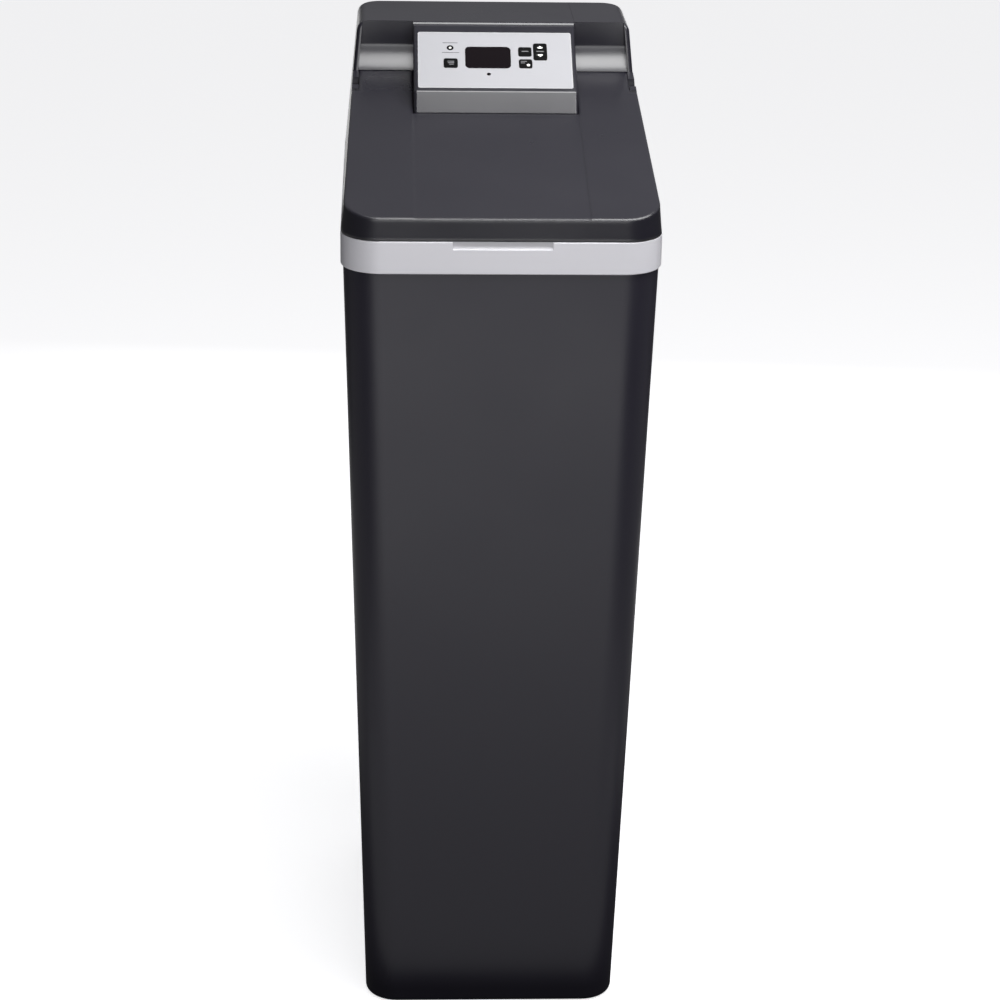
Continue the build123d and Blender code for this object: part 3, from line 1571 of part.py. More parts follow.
def make_bypass_spool():
    """Spool with waists at the ports; it carries one knob and takes the other."""
    half = barrel_length / 2
    radius = barrel_bore_radius - running_gap
    left = -half - spool_travel - seat_gap
    spool = rod_x(radius, -half, half, barrel_y, port_z)
    for x in spool_centres():
        waist = rod_x(barrel_bore_radius, x - spool_waist_length / 2, x + spool_waist_length / 2, barrel_y, port_z)
        waist -= rod_x(spool_waist_radius, -half, half, barrel_y, port_z)
        spool -= waist
    for x in spool_seal_places():
        groove = rod_x(barrel_bore_radius, x - spool_seal_radius, x + spool_seal_radius, barrel_y, port_z)
        groove -= rod_x(radius - 2 * spool_seal_radius, -half, half, barrel_y, port_z)
        spool -= groove
    spool += rod_x(spool_neck_radius, left, -half, barrel_y, port_z)
    spool += knob(left - knob_length, left)
    spool += rod_x(spool_waist_radius, half, half + seat_gap + knob_boss_length, barrel_y, port_z)
    return Pos(tank_x, 0, 0) * spool


def knob(low, high):
    body = rod_x(knob_radius, low, high, barrel_y, port_z)
    groove = Cylinder(knob_grip_radius, 2 * (high - low))
    for cutter in in_circle(knob_grips, knob_radius, groove):
        body -= Pos((low + high) / 2, barrel_y, port_z) * Rot(0, 90, 0) * cutter
    return body


def make_bypass_knob():
    low = barrel_length / 2 + seat_gap
    body = knob(low, low + knob_length)
    body -= rod_x(spool_waist_radius + running_gap, low - overrun, low + knob_boss_length, barrel_y, port_z)
    return Pos(tank_x, 0, 0) * body


def spool_seal_places():
    step = spool_waist_length / 2 + 2 * spool_seal_radius
    places = []
    for x in spool_centres():
        places += [x - step, x + step]
    return places


def make_spool_seals():
    major = barrel_bore_radius - running_gap - spool_seal_radius
    rings = []
    for x in spool_seal_places():
        ring = rod_x(major + spool_seal_radius, x - spool_seal_radius + running_gap,
                     x + spool_seal_radius - running_gap, barrel_y, port_z)
        ring -= rod_x(major - spool_seal_radius + running_gap, x - overrun * 2, x + overrun * 2, barrel_y, port_z)
        rings.append(ring)
    return Pos(tank_x, 0, 0) * together(rings)


def clip_at(x, y):
    """C-shaped clip over two ribs that meet at y."""
    hold = rib_width + seat_gap
    width = 2 * (hold + clip_cheek)
    outline = Polyline(
        (port_radius + seat_gap, -width / 2),
        (rib_radius + seat_gap + clip_thickness, -width / 2),
        (rib_radius + seat_gap + clip_thickness, width / 2),
        (port_radius + seat_gap, width / 2),
        (port_radius + seat_gap, hold),
        (rib_radius + seat_gap, hold),
        (rib_radius + seat_gap, -hold),
        (port_radius + seat_gap, -hold),
        close=True,
    )
    face = make_face(outline)
    ring = revolve(face, Axis.Y, clip_sweep)
    middle = Rot(0, 90 - clip_sweep / 2 + 180, 0)
    return Pos(x, y, port_z) * middle * ring


def make_retaining_clips():
    joints = (port_end_y + seat_gap / 2, bypass_end_y + seat_gap / 2)
    clips = [clip_at(x, y) for x in (inlet_x, outlet_x) for y in joints]
    return together(clips)


def make_adaptor(x):
    start = adaptor_y
    body_end = start + rib_width + adaptor_body_length
    hex_end = body_end + adaptor_hex_length
    end = hex_end + adaptor_thread_length
    body = rod_y(adaptor_radius, start, body_end) + rod_y(rib_radius, start, start + rib_width)
    nut = extrude(
        Plane.XZ.offset(-hex_end) * RegularPolygon(adaptor_hex / 2, 6, major_radius=False),
        amount=adaptor_hex_length,
    )
    body += nut
    body += rod_y(adaptor_thread_radius, hex_end, end)
    body -= rod_y(adaptor_bore_radius, start - overrun, end + overrun)
    return Pos(x, 0, port_z) * body


# Drain elbow and overflow elbow
def barb(radius, length):
    """Hose barb along +Z: low saw-tooth rings near its root and a plain tip."""
    body = rod_z(radius, 0, length)
    step = length * barb_ring_share / barb_ring_count
    for i in range(barb_ring_count):
        tooth = Cone(radius + barb_ring_rise, radius, step / 2, align=(Align.CENTER, Align.CENTER, Align.MIN))
        body += Pos(0, 0, (i + 1) * step) * tooth
    return body


def make_drain_elbow():
    start = tank_x + cup_radius + drain_boss_length
    y = tank_y + drain_dy
    body = rod_x(drain_boss_radius, start, start + rib_width, y, port_z)
    body += rod_x(drain_radius, start, drain_turn_x, y, port_z)
    body += Pos(drain_turn_x, y, port_z) * Sphere(drain_radius)
    barb_y = drain_tip_y - drain_barb_length
    body += rod_y(drain_radius, y, barb_y, drain_turn_x, port_z)
    body += Pos(drain_turn_x, barb_y, port_z) * Rot(-90, 0, 0) * barb(drain_barb_radius, drain_barb_length)
    body -= rod_x(drain_bore_radius, start - overrun, drain_turn_x, y, port_z)
    body -= Pos(drain_turn_x, y, port_z) * Sphere(drain_bore_radius)
    body -= rod_y(drain_bore_radius, y, drain_tip_y + overrun, drain_turn_x, port_z)
    return body


def make_overflow_elbow():
    back = cabinet_back(overflow_z)
    inner = back - cabinet_wall - grommet_lip_thickness - 2 * overflow_flange_thickness
    turn_y = back + overflow_reach
    body = rod_y(overflow_radius, inner, turn_y)
    lip = back + grommet_lip_thickness + seat_gap
    body += rod_y(overflow_flange_radius, lip, lip + overflow_flange_thickness)
    body += Pos(0, turn_y, 0) * Sphere(overflow_radius)
    down = Pos(0, turn_y, 0) * Rot(180, 0, 0)
    elbow_end = overflow_drop - overflow_barb_length
    body += down * rod_z(overflow_radius, 0, elbow_end)
    body += down * Pos(0, 0, elbow_end) * barb(overflow_barb_radius, overflow_barb_length)
    body -= rod_y(overflow_bore_radius, inner - overrun, turn_y)
    body -= Pos(0, turn_y, 0) * Sphere(overflow_bore_radius)
    body -= down * rod_z(overflow_bore_radius, 0, overflow_drop + overrun)
    return Pos(overflow_x, 0, overflow_z) * body


def make_overflow_grommet():
    back = cabinet_back(overflow_z)
    lean = overflow_flange_radius * tan(radians(cabinet_draft))
    outer_low = back + lean
    ring = rod_y(overflow_radius + grommet_wall - running_gap, back - cabinet_wall - grommet_lip_thickness,
                 back + grommet_lip_thickness)
    lip = rod_y(overflow_flange_radius, outer_low, back + grommet_lip_thickness)
    ring += lip
    ring -= rod_y(overflow_radius + running_gap, back - 2 * overflow_flange_radius, back + overflow_reach)
    return Pos(overflow_x, 0, overflow_z) * ring


# Brine well, float and brine valve
def make_brine_well():
    body = rod_z(well_radius, well_floor, well_height)
    body -= rod_z(well_radius - well_wall, well_floor - overrun, well_height + overrun)
    slot = Box(4 * well_wall, well_slot_width, well_slot_height, align=(Align.CENTER, Align.CENTER, Align.MIN))
    for cutter in in_circle(well_slots, well_radius, Pos(0, 0, well_slot_low) * slot, 180 / well_slots):
        body -= cutter
    window = block(
        (-brine_offset - 2 * tube_radius, -brine_offset + 2 * tube_radius), (0, 2 * well_radius),
        (tube_drop_rise - 2 * tube_radius, well_height - well_cap_skirt - 2 * overrun),
    )
    return Pos(well_x, well_y, 0) * (body - window)


def make_brine_well_cover():
    high = well_height + seat_gap + well_cap_thickness
    low = well_height - well_cap_skirt
    outer = well_radius + seat_gap + well_cap_wall
    cap = rod_z(outer, low, high)
    cap = fillet(cap.faces().sort_by(Axis.Z)[-1].edges(), well_cap_thickness - overrun)
    cap -= rod_z(well_radius + seat_gap, low - overrun, well_height + seat_gap)
    cap += rod_z(well_cap_knob_radius, high - overrun, high + well_cap_knob_height)
    cap -= rod_z(well_cap_knob_radius - well_cap_wall, well_height, high + well_cap_knob_height - well_cap_wall)
    return Pos(well_x, well_y, 0) * cap


def make_brine_valve():
    """Slotted foot screen with the valve chamber and the side boss for the tube."""
    low = well_floor
    foot = rod_z(valve_foot_radius, low, low + valve_foot_height)
    foot -= rod_z(valve_foot_radius - well_wall, low + well_wall, low + valve_foot_height - well_wall)
    slot = Box(4 * well_wall, foot_slot_width, valve_foot_height - 4 * well_wall)
    for cutter in in_circle(foot_slots, valve_foot_radius, Pos(0, 0, low + valve_foot_height / 2) * slot):
        foot -= cutter
    foot += rod_z(valve_stem_radius, low + valve_foot_height - overrun, valve_stem_top)
    foot += rod_z(brine_boss_radius, valve_stem_top - 4 * brine_boss_radius, valve_stem_top, -brine_offset)
    foot -= rod_z(tube_radius + running_gap, valve_stem_top - tube_socket, valve_stem_top + overrun, -brine_offset)
    foot -= rod_z(rod_radius + 2 * running_gap, valve_stem_top - rod_bore_depth, valve_stem_top + overrun)
    return Pos(well_x, well_y, 0) * foot


def make_float_rod():
    low = valve_stem_top - rod_bore_depth + float_travel / 2
    rod = rod_z(rod_radius, low, rod_top)
    rod += rod_z(rod_collar_radius, float_low - rod_collar_height, float_low)
    rod += rod_z(rod_collar_radius, float_low + float_height, float_low + float_height + rod_collar_height)
    rod += rod_z(rod_collar_radius, valve_stem_top + seat_gap, valve_stem_top + seat_gap + rod_collar_height)
    return Pos(well_x, well_y, 0) * rod


def make_brine_float():
    body = rod_z(float_radius, float_low, float_low + float_height)
    body = fillet(body.edges().filter_by(GeomType.CIRCLE), float_round)
    body -= rod_z(rod_radius + running_gap, 0, overall_height)
    body -= rod_z(tube_radius + float_round, 0, overall_height, -brine_offset)
    return Pos(well_x, well_y, 0) * body


def make_brine_tube():
    """Tube from the brine valve up the well, out of its window and up to the venturi."""
    start = (riser_x, well_y, riser_low - tube_socket)
    points = [
        start,
        (riser_x, well_y, tube_drop_rise),
        (riser_x, tube_exit_y, tube_exit_z),
        (venturi_x, brine_boss_y, tube_turn_z),
        (venturi_x, brine_boss_y, brine_boss_z + tube_socket),
    ]
    path = FilletPolyline(*points, radius=list(tube_bends))
    ring = Plane(origin=start, z_dir=(0, 0, 1)) * (Circle(tube_radius) - Circle(tube_bore_radius))
    tube = sweep(ring, path=path)
    area = pi * (tube_radius**2 - tube_bore_radius**2)
    print("brine tube bends", tube_bends, "length", round(path.length), "volume share",
          round(tube.volume / (area * path.length), 4))
    return tube


def main():
    makers = {
        "cabinet": make_cabinet,
        "rim": make_rim,
        "salt_lid": make_salt_lid,
        "hinge_pins": make_hinge_pins,
        "top_cover": make_top_cover,
        "faceplate": make_faceplate,
        "recharge_key": lambda: make_key("recharge"),
        "select_key": lambda: make_key("select"),
        "water_key": lambda: make_key("water"),
        "rocker_key": make_rocker,
        "display_window": make_display_window,
        "display_module": make_display_module,
        "status_lens": make_status_lens,
        "lamp_bezel": make_lamp_bezel,
        "lamp_lens": make_lamp_lens,
        "control_board": make_control_board,
        "board_tray": make_board_tray,
        "tray_screws": make_tray_screws,
        "resin_tank": make_resin_tank,
        "riser_tube": make_riser_tube,
        "bottom_distributor": make_bottom_distributor,
        "top_distributor": make_top_distributor,
        "resin_bed": make_resin_bed,
        "tank_clamp": make_tank_clamp,
        "clamp_screws": make_clamp_screws,
        "tank_seal": make_tank_seal,
        "valve_body": make_valve_body,
        "rotor_seal": make_rotor_seal,
        "rotor_disc": make_rotor_disc,
        "wave_washer": make_wave_washer,
        "valve_cover": make_valve_cover,
        "cover_screws": make_cover_screws,
        "cam_gear": make_cam_gear,
        "motor_pinion": make_motor_pinion,
        "motor_plate": make_motor_plate,
        "plate_screws": make_plate_screws,
        "drive_motor": make_drive_motor,
        "motor_screws": make_motor_screws,
        "position_switch": make_position_switch,
        "venturi_housing": make_venturi_housing,
        "nozzle_insert": make_nozzle_insert,
        "venturi_cap": make_venturi_cap,
        "turbine_support": make_turbine_support,
        "flow_turbine": make_flow_turbine,
        "bypass_body": make_bypass_body,
        "bypass_spool": make_bypass_spool,
        "bypass_knob": make_bypass_knob,
        "spool_seals": make_spool_seals,
        "retaining_clips": make_retaining_clips,
        "inlet_adaptor": lambda: make_adaptor(inlet_x),
        "outlet_adaptor": lambda: make_adaptor(outlet_x),
        "drain_elbow": make_drain_elbow,
        "overflow_elbow": make_overflow_elbow,
        "overflow_grommet": make_overflow_grommet,
        "brine_well": make_brine_well,
        "brine_well_cover": make_brine_well_cover,
        "brine_valve": make_brine_valve,
        "float_rod": make_float_rod,
        "brine_float": make_brine_float,
        "brine_tube": make_brine_tube,
    }
    os.makedirs("parts", exist_ok=True)
    for name, make in makers.items():
        export_step(make(), os.path.join("parts", name + ".step"))


main()
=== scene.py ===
"""Looks of a slim cabinet water softener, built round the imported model.

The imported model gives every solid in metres, Z up, front facing -Y. This file gives each solid
its finish, shades the large shells smooth, prints the marks on the control panel, and sets up
the floor, the lights and the camera.
"""

import json
import logging
import math
from dataclasses import dataclass, field
from enum import Enum
from typing import Any, Callable, Sequence

import bpy
from mathutils import Matrix, Vector

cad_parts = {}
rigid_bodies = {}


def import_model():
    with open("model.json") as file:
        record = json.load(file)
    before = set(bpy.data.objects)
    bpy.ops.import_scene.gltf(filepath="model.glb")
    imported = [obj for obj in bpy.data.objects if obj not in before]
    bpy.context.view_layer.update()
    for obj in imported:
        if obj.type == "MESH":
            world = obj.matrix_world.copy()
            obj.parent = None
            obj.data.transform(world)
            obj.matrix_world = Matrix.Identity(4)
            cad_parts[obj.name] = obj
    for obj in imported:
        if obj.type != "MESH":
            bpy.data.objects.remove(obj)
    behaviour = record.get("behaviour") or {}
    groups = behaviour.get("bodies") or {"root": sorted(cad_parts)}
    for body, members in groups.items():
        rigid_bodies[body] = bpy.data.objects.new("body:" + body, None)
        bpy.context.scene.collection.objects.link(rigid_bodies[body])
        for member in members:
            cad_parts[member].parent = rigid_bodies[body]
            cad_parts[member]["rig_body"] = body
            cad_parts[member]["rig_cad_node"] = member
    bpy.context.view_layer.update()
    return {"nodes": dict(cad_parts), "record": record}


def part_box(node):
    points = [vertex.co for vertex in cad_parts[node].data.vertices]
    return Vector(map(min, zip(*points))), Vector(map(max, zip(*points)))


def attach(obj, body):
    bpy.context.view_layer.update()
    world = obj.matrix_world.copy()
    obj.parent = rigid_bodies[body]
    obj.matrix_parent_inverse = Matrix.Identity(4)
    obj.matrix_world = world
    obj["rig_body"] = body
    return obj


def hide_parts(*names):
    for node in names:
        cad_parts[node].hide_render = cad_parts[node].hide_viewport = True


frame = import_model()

MM = 0.001
# Two places closer than this, in metres, are the same.
TINY = 1e-6
# Sockets of a Mix node that mixes colours. Their names stand more than once on the node.
MIX_SHARE, MIX_A, MIX_B, MIX_RESULT = 0, 6, 7, 2
# A circle of four sides is added standing on a corner. This turn lays it on its side.
SQUARE_DEG = 45.0
# How far a floor box lies over the floor, and the height over it that it faces.
BOX_LIFT, BOX_AIM = 0.02, 2.0

Colour = tuple[float, float, float, float]

log = logging.getLogger("softener")


# Shared tools


def linear(code: str) -> Colour:
    """Turn an sRGB hex colour into linear light.

    Args:
        code: Colour as "#rrggbb".

    Returns:
        Red, green, blue and an alpha of 1.
    """
    parts = [int(code[i : i + 2], 16) / 255 for i in (1, 3, 5)]
    r, g, b = [p / 12.92 if p <= 0.04045 else ((p + 0.055) / 1.055) ** 2.4 for p in parts]
    return r, g, b, 1.0


def scaled(colour: Colour, share: float) -> Colour:
    """Make a colour lighter or darker.

    Args:
        colour: Linear colour.
        share: What its light is multiplied by.

    Returns:
        The new colour, with each channel 1 at most.
    """
    r, g, b = [min(1.0, channel * share) for channel in colour[:3]]
    return r, g, b, 1.0


def per_metre(size_mm: float) -> float:
    """Texture scale that gives a pattern of this real size on Object coordinates."""
    return 1.0 / (size_mm * MM)


def add_node(
    tree: bpy.types.NodeTree,
    kind: str,
    inputs: dict[Any, Any] | None = None,
    links: dict[Any, bpy.types.NodeSocket] | None = None,
    **settings: Any,
) -> bpy.types.Node:
    """Add one shader node with its settings, its input values and its links.

    Args:
        tree: Node tree that takes the node.
        kind: Blender's type name of the node.
        inputs: Values by input name or number.
        links: Sockets to join, by input name or number.
        **settings: Attributes of the node itself.

    Returns:
        The new node.
    """
    node = tree.nodes.new(kind)
    for key, value in settings.items():
        setattr(node, key, value)
    for key, value in (inputs or {}).items():
        node.inputs[key].default_value = value
    for key, socket in (links or {}).items():
        tree.links.new(socket, node.inputs[key])
    return node


def deselect_all() -> None:
    """Leave nothing selected, so that an operator acts only on the next piece."""
    if bpy.context.object and bpy.context.object.mode != "OBJECT":
        bpy.ops.object.mode_set(mode="OBJECT")
    bpy.ops.object.select_all(action="DESELECT")


def activate(piece: bpy.types.Object) -> None:
    """Make a piece the only selected and the active object.

    Args:
        piece: The object.
    """
    deselect_all()
    piece.select_set(True)
    bpy.context.view_layer.objects.active = piece


class Part(Enum):
    """What edit mode selects, by Blender's word for it."""

    VERTEX = "VERT"
    EDGE = "EDGE"
    FACE = "FACE"


def edit(piece: bpy.types.Object, part: Part, test: Callable[[list[Vector]], bool]) -> None:
    """Enter edit mode with the vertices, edges or faces selected that pass a test.

    Args:
        piece: Mesh object to edit.
        part: What is selected.
        test: Takes the corners of a vertex, an edge or a face and says whether it is selected.
    """
    activate(piece)
    bpy.ops.object.mode_set(mode="EDIT")
    bpy.ops.mesh.select_mode(type=part.value)
    bpy.ops.mesh.select_all(action="DESELECT")
    bpy.ops.object.mode_set(mode="OBJECT")
    points = piece.data.vertices
    if part is Part.VERTEX:
        for point in points:
            point.select = test([point.co])
    else:
        for one in piece.data.edges if part is Part.EDGE else piece.data.polygons:
            one.select = test([points[corner].co for corner in one.vertices])
    bpy.ops.object.mode_set(mode="EDIT")


def place(piece: bpy.types.Object, matrix: Matrix) -> None:
    """Move a piece by a matrix and apply it, so that its place is in its mesh.

    Args:
        piece: The object.
        matrix: Its move.
    """
    activate(piece)
    piece.matrix_world = matrix @ piece.matrix_world
    bpy.ops.object.transform_apply(location=True, rotation=True, scale=True)


def settle(
    piece: bpy.types.Object,
    name: str,
    body: str,
    finish: bpy.types.Material,
    stands_for: Sequence[str] = (),
    smooth_deg: float = 30.0,
) -> None:
    """Name a finished piece, shade it, give it its finish, tie it to its body and hide the CAD
    nodes that it replaces.

    Args:
        piece: The modelled object.
        name: Its name.
        body: Body it rides on.
        finish: Its material.
        stands_for: CAD nodes that it replaces.
        smooth_deg: Edges sharper than this stay crisp.
    """
    activate(piece)
    bpy.ops.object.transform_apply(location=True, rotation=True, scale=True)
    bpy.ops.object.shade_smooth_by_angle(angle=math.radians(smooth_deg))
    piece.name = name
    piece.data.name = name
    piece.data.materials.clear()
    piece.data.materials.append(finish)
    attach(piece, body)
    if stands_for:
        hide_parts(*stands_for)
    log.info("%s on %s, %d faces", name, body, len(piece.data.polygons))


def middle(node: str) -> Vector:
    """Middle of a CAD node's box."""
    low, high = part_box(node)
    return (low + high) / 2


# Finishes


@dataclass(frozen=True)
class Surface:
    """What every finish has in common.

    Attributes:
        name: Name of the material, by what it is made of and how.
        colour: Its sRGB colour.
    """

    name: str
    colour: str

    def make(self) -> bpy.types.Material:
        """Build the material.

        Returns:
            A new material that shows this surface.
        """
        material = bpy.data.materials.new(self.name)
        material.use_nodes = True
        tree = material.node_tree
        where = add_node(tree, "ShaderNodeTexCoord").outputs["Object"]
        self.dress(tree, tree.nodes["Principled BSDF"], where)
        return material

    def dress(
        self, tree: bpy.types.NodeTree, shader: bpy.types.Node, where: bpy.types.NodeSocket
    ) -> None:
        """Give the shader its colour, roughness and bump. Each kind of finish has its own way.

        Args:
            tree: Node tree of the material.
            shader: Its Principled shader.
            where: Object coordinates of the point that is shaded.
        """
        raise NotImplementedError


@dataclass(frozen=True)
class MouldedPlastic(Surface):
    """Opaque plastic from a mould whose steel was spark eroded or left smooth.

    The grain is the tool's texture, the tone is the faint cloudiness of the pigment, and the
    sheen spots are where handling has polished the texture.

    Attributes:
        roughness: Roughness of the untouched texture.
        ior: Its IOR.
        grain_mm: Grain width of the tool's texture.
        grain_depth_mm: Depth of the texture.
        tone: How far the colour strays to both sides, as a share.
        tone_mm: Size of the colour's clouds.
        polish: How far the roughness strays to both sides.
        cloud_range: Values of the clouds' noise between which the roughness changes.
        coat: Weight of a clear coat.
        coat_roughness: Roughness of that coat.
        specular: Strength of the reflections, where 0.5 is what the IOR gives.
        soft_edge_mm: Radius over which sharp edges are shaded as if rounded.
        edge_samples: Rays that look for such an edge.
    """

    roughness: float
    ior: float = 1.50
    grain_mm: float = 0.9
    grain_depth_mm: float = 0.012
    tone: float = 0.10
    tone_mm: float = 140.0
    polish: float = 0.06
    cloud_range: tuple[float, float] = (0.35, 0.7)
    coat: float = 0.0
    coat_roughness: float = 0.2
    specular: float = 0.5
    soft_edge_mm: float = 0.0
    edge_samples: int = 8

    def dress(
        self, tree: bpy.types.NodeTree, shader: bpy.types.Node, where: bpy.types.NodeSocket
    ) -> None:
        """Give the shader a cloudy colour, a patchy sheen and the tool's grain.

        Args:
            tree: Node tree of the material.
            shader: Its Principled shader.
            where: Object coordinates of the point that is shaded.
        """
        shader.inputs["IOR"].default_value = self.ior
        shader.inputs["Coat Weight"].default_value = self.coat
        shader.inputs["Coat Roughness"].default_value = self.coat_roughness
        shader.inputs["Specular IOR Level"].default_value = self.specular
        base = linear(self.colour)
        cloud = add_node(
            tree, "ShaderNodeTexNoise",
            {"Scale": per_metre(self.tone_mm), "Detail": 3.0, "Roughness": 0.55},
            {"Vector": where},
        )
        mix = add_node(
            tree, "ShaderNodeMix",
            {MIX_A: scaled(base, 1 - self.tone), MIX_B: scaled(base, 1 + self.tone)},
            {MIX_SHARE: cloud.outputs["Fac"]}, data_type="RGBA",
        )
        tree.links.new(mix.outputs[MIX_RESULT], shader.inputs["Base Color"])
        rough = add_node(
            tree, "ShaderNodeMapRange",
            {
                "From Min": self.cloud_range[0],
                "From Max": self.cloud_range[1],
                "To Min": self.roughness - self.polish,
                "To Max": self.roughness + self.polish,
            },
            {"Value": cloud.outputs["Fac"]},
        )
        tree.links.new(rough.outputs["Result"], shader.inputs["Roughness"])
        grain = add_node(
            tree, "ShaderNodeTexNoise",
            {"Scale": per_metre(self.grain_mm), "Detail": 2.0, "Roughness": 0.6},
            {"Vector": where},
        )
        bump = add_node(
            tree, "ShaderNodeBump",
            {"Strength": 1.0, "Distance": self.grain_depth_mm * MM},
            {"Height": grain.outputs["Fac"]},
        )
        if self.soft_edge_mm:
            edge = add_node(
                tree, "ShaderNodeBevel", {"Radius": self.soft_edge_mm * MM},
                samples=self.edge_samples,
            )
            tree.links.new(edge.outputs["Normal"], bump.inputs["Normal"])
        tree.links.new(bump.outputs["Normal"], shader.inputs["Normal"])


@dataclass(frozen=True)
class PlainMetal(Surface):
    """Metal with drawn or rolled lines along one axis, bright or plated.

    Attributes:
        roughness: Mean roughness.
        wear: How far the roughness strays to both sides.
        line_range: Values of the lines' noise between which the roughness changes.
        line_mm: Width of the lines.
        along: Scale of the lines by axis. The small one is the axis that they run along.
        line_depth_mm: Depth of the lines.
    """

    roughness: float
    wear: float = 0.07
    line_range: tuple[float, float] = (0.3, 0.7)
    line_mm: float = 0.25
    along: tuple[float, float, float] = (1.0, 1.0, 0.05)
    line_depth_mm: float = 0.003

    def dress(
        self, tree: bpy.types.NodeTree, shader: bpy.types.Node, where: bpy.types.NodeSocket
    ) -> None:
        """Give the shader the metal's colour and its lines.

        Args:
            tree: Node tree of the material.
            shader: Its Principled shader.
            where: Object coordinates of the point that is shaded.
        """
        shader.inputs["Metallic"].default_value = 1.0
        shader.inputs["Base Color"].default_value = linear(self.colour)
        turned = add_node(tree, "ShaderNodeMapping", {"Scale": self.along}, {"Vector": where})
        lines = add_node(
            tree, "ShaderNodeTexNoise",
            {"Scale": per_metre(self.line_mm), "Detail": 3.0},
            {"Vector": turned.outputs["Vector"]},
        )
        rough = add_node(
            tree, "ShaderNodeMapRange",
            {
                "From Min": self.line_range[0],
                "From Max": self.line_range[1],
                "To Min": self.roughness - self.wear,
                "To Max": self.roughness + self.wear,
            },
            {"Value": lines.outputs["Fac"]},
        )
        tree.links.new(rough.outputs["Result"], shader.inputs["Roughness"])
        bump = add_node(
            tree, "ShaderNodeBump",
            {"Strength": 1.0, "Distance": self.line_depth_mm * MM},
            {"Height": lines.outputs["Fac"]},
        )
        tree.links.new(bump.outputs["Normal"], shader.inputs["Normal"])


@dataclass(frozen=True)
class SheerPlastic(Surface):
    """Smooth see-through plastic: a smoked window, a clear lens or a natural tube.

    Attributes:
        roughness: Typical roughness.
        transmission: Share of the light that passes.
        ior: Its IOR.
        haze_mm: Size of the hazy patches.
        haze: Least and greatest roughness, as shares of the typical one.
    """

    roughness: float
    transmission: float
    ior: float = 1.49
    haze_mm: float = 30.0
    haze: tuple[float, float] = (0.8, 1.3)

    def dress(
        self, tree: bpy.types.NodeTree, shader: bpy.types.Node, where: bpy.types.NodeSocket
    ) -> None:
        """Let light through the shader and make its gloss slightly uneven.

        Args:
            tree: Node tree of the material.
            shader: Its Principled shader.
            where: Object coordinates of the point that is shaded.
        """
        shader.inputs["Base Color"].default_value = linear(self.colour)
        shader.inputs["IOR"].default_value = self.ior
        shader.inputs["Transmission Weight"].default_value = self.transmission
        patches = add_node(
            tree, "ShaderNodeTexNoise",
            {"Scale": per_metre(self.haze_mm), "Detail": 2.0},
            {"Vector": where},
        )
        rough = add_node(
            tree, "ShaderNodeMapRange",
            {"To Min": self.roughness * self.haze[0], "To Max": self.roughness * self.haze[1]},
            {"Value": patches.outputs["Fac"]},
        )
        tree.links.new(rough.outputs["Result"], shader.inputs["Roughness"])


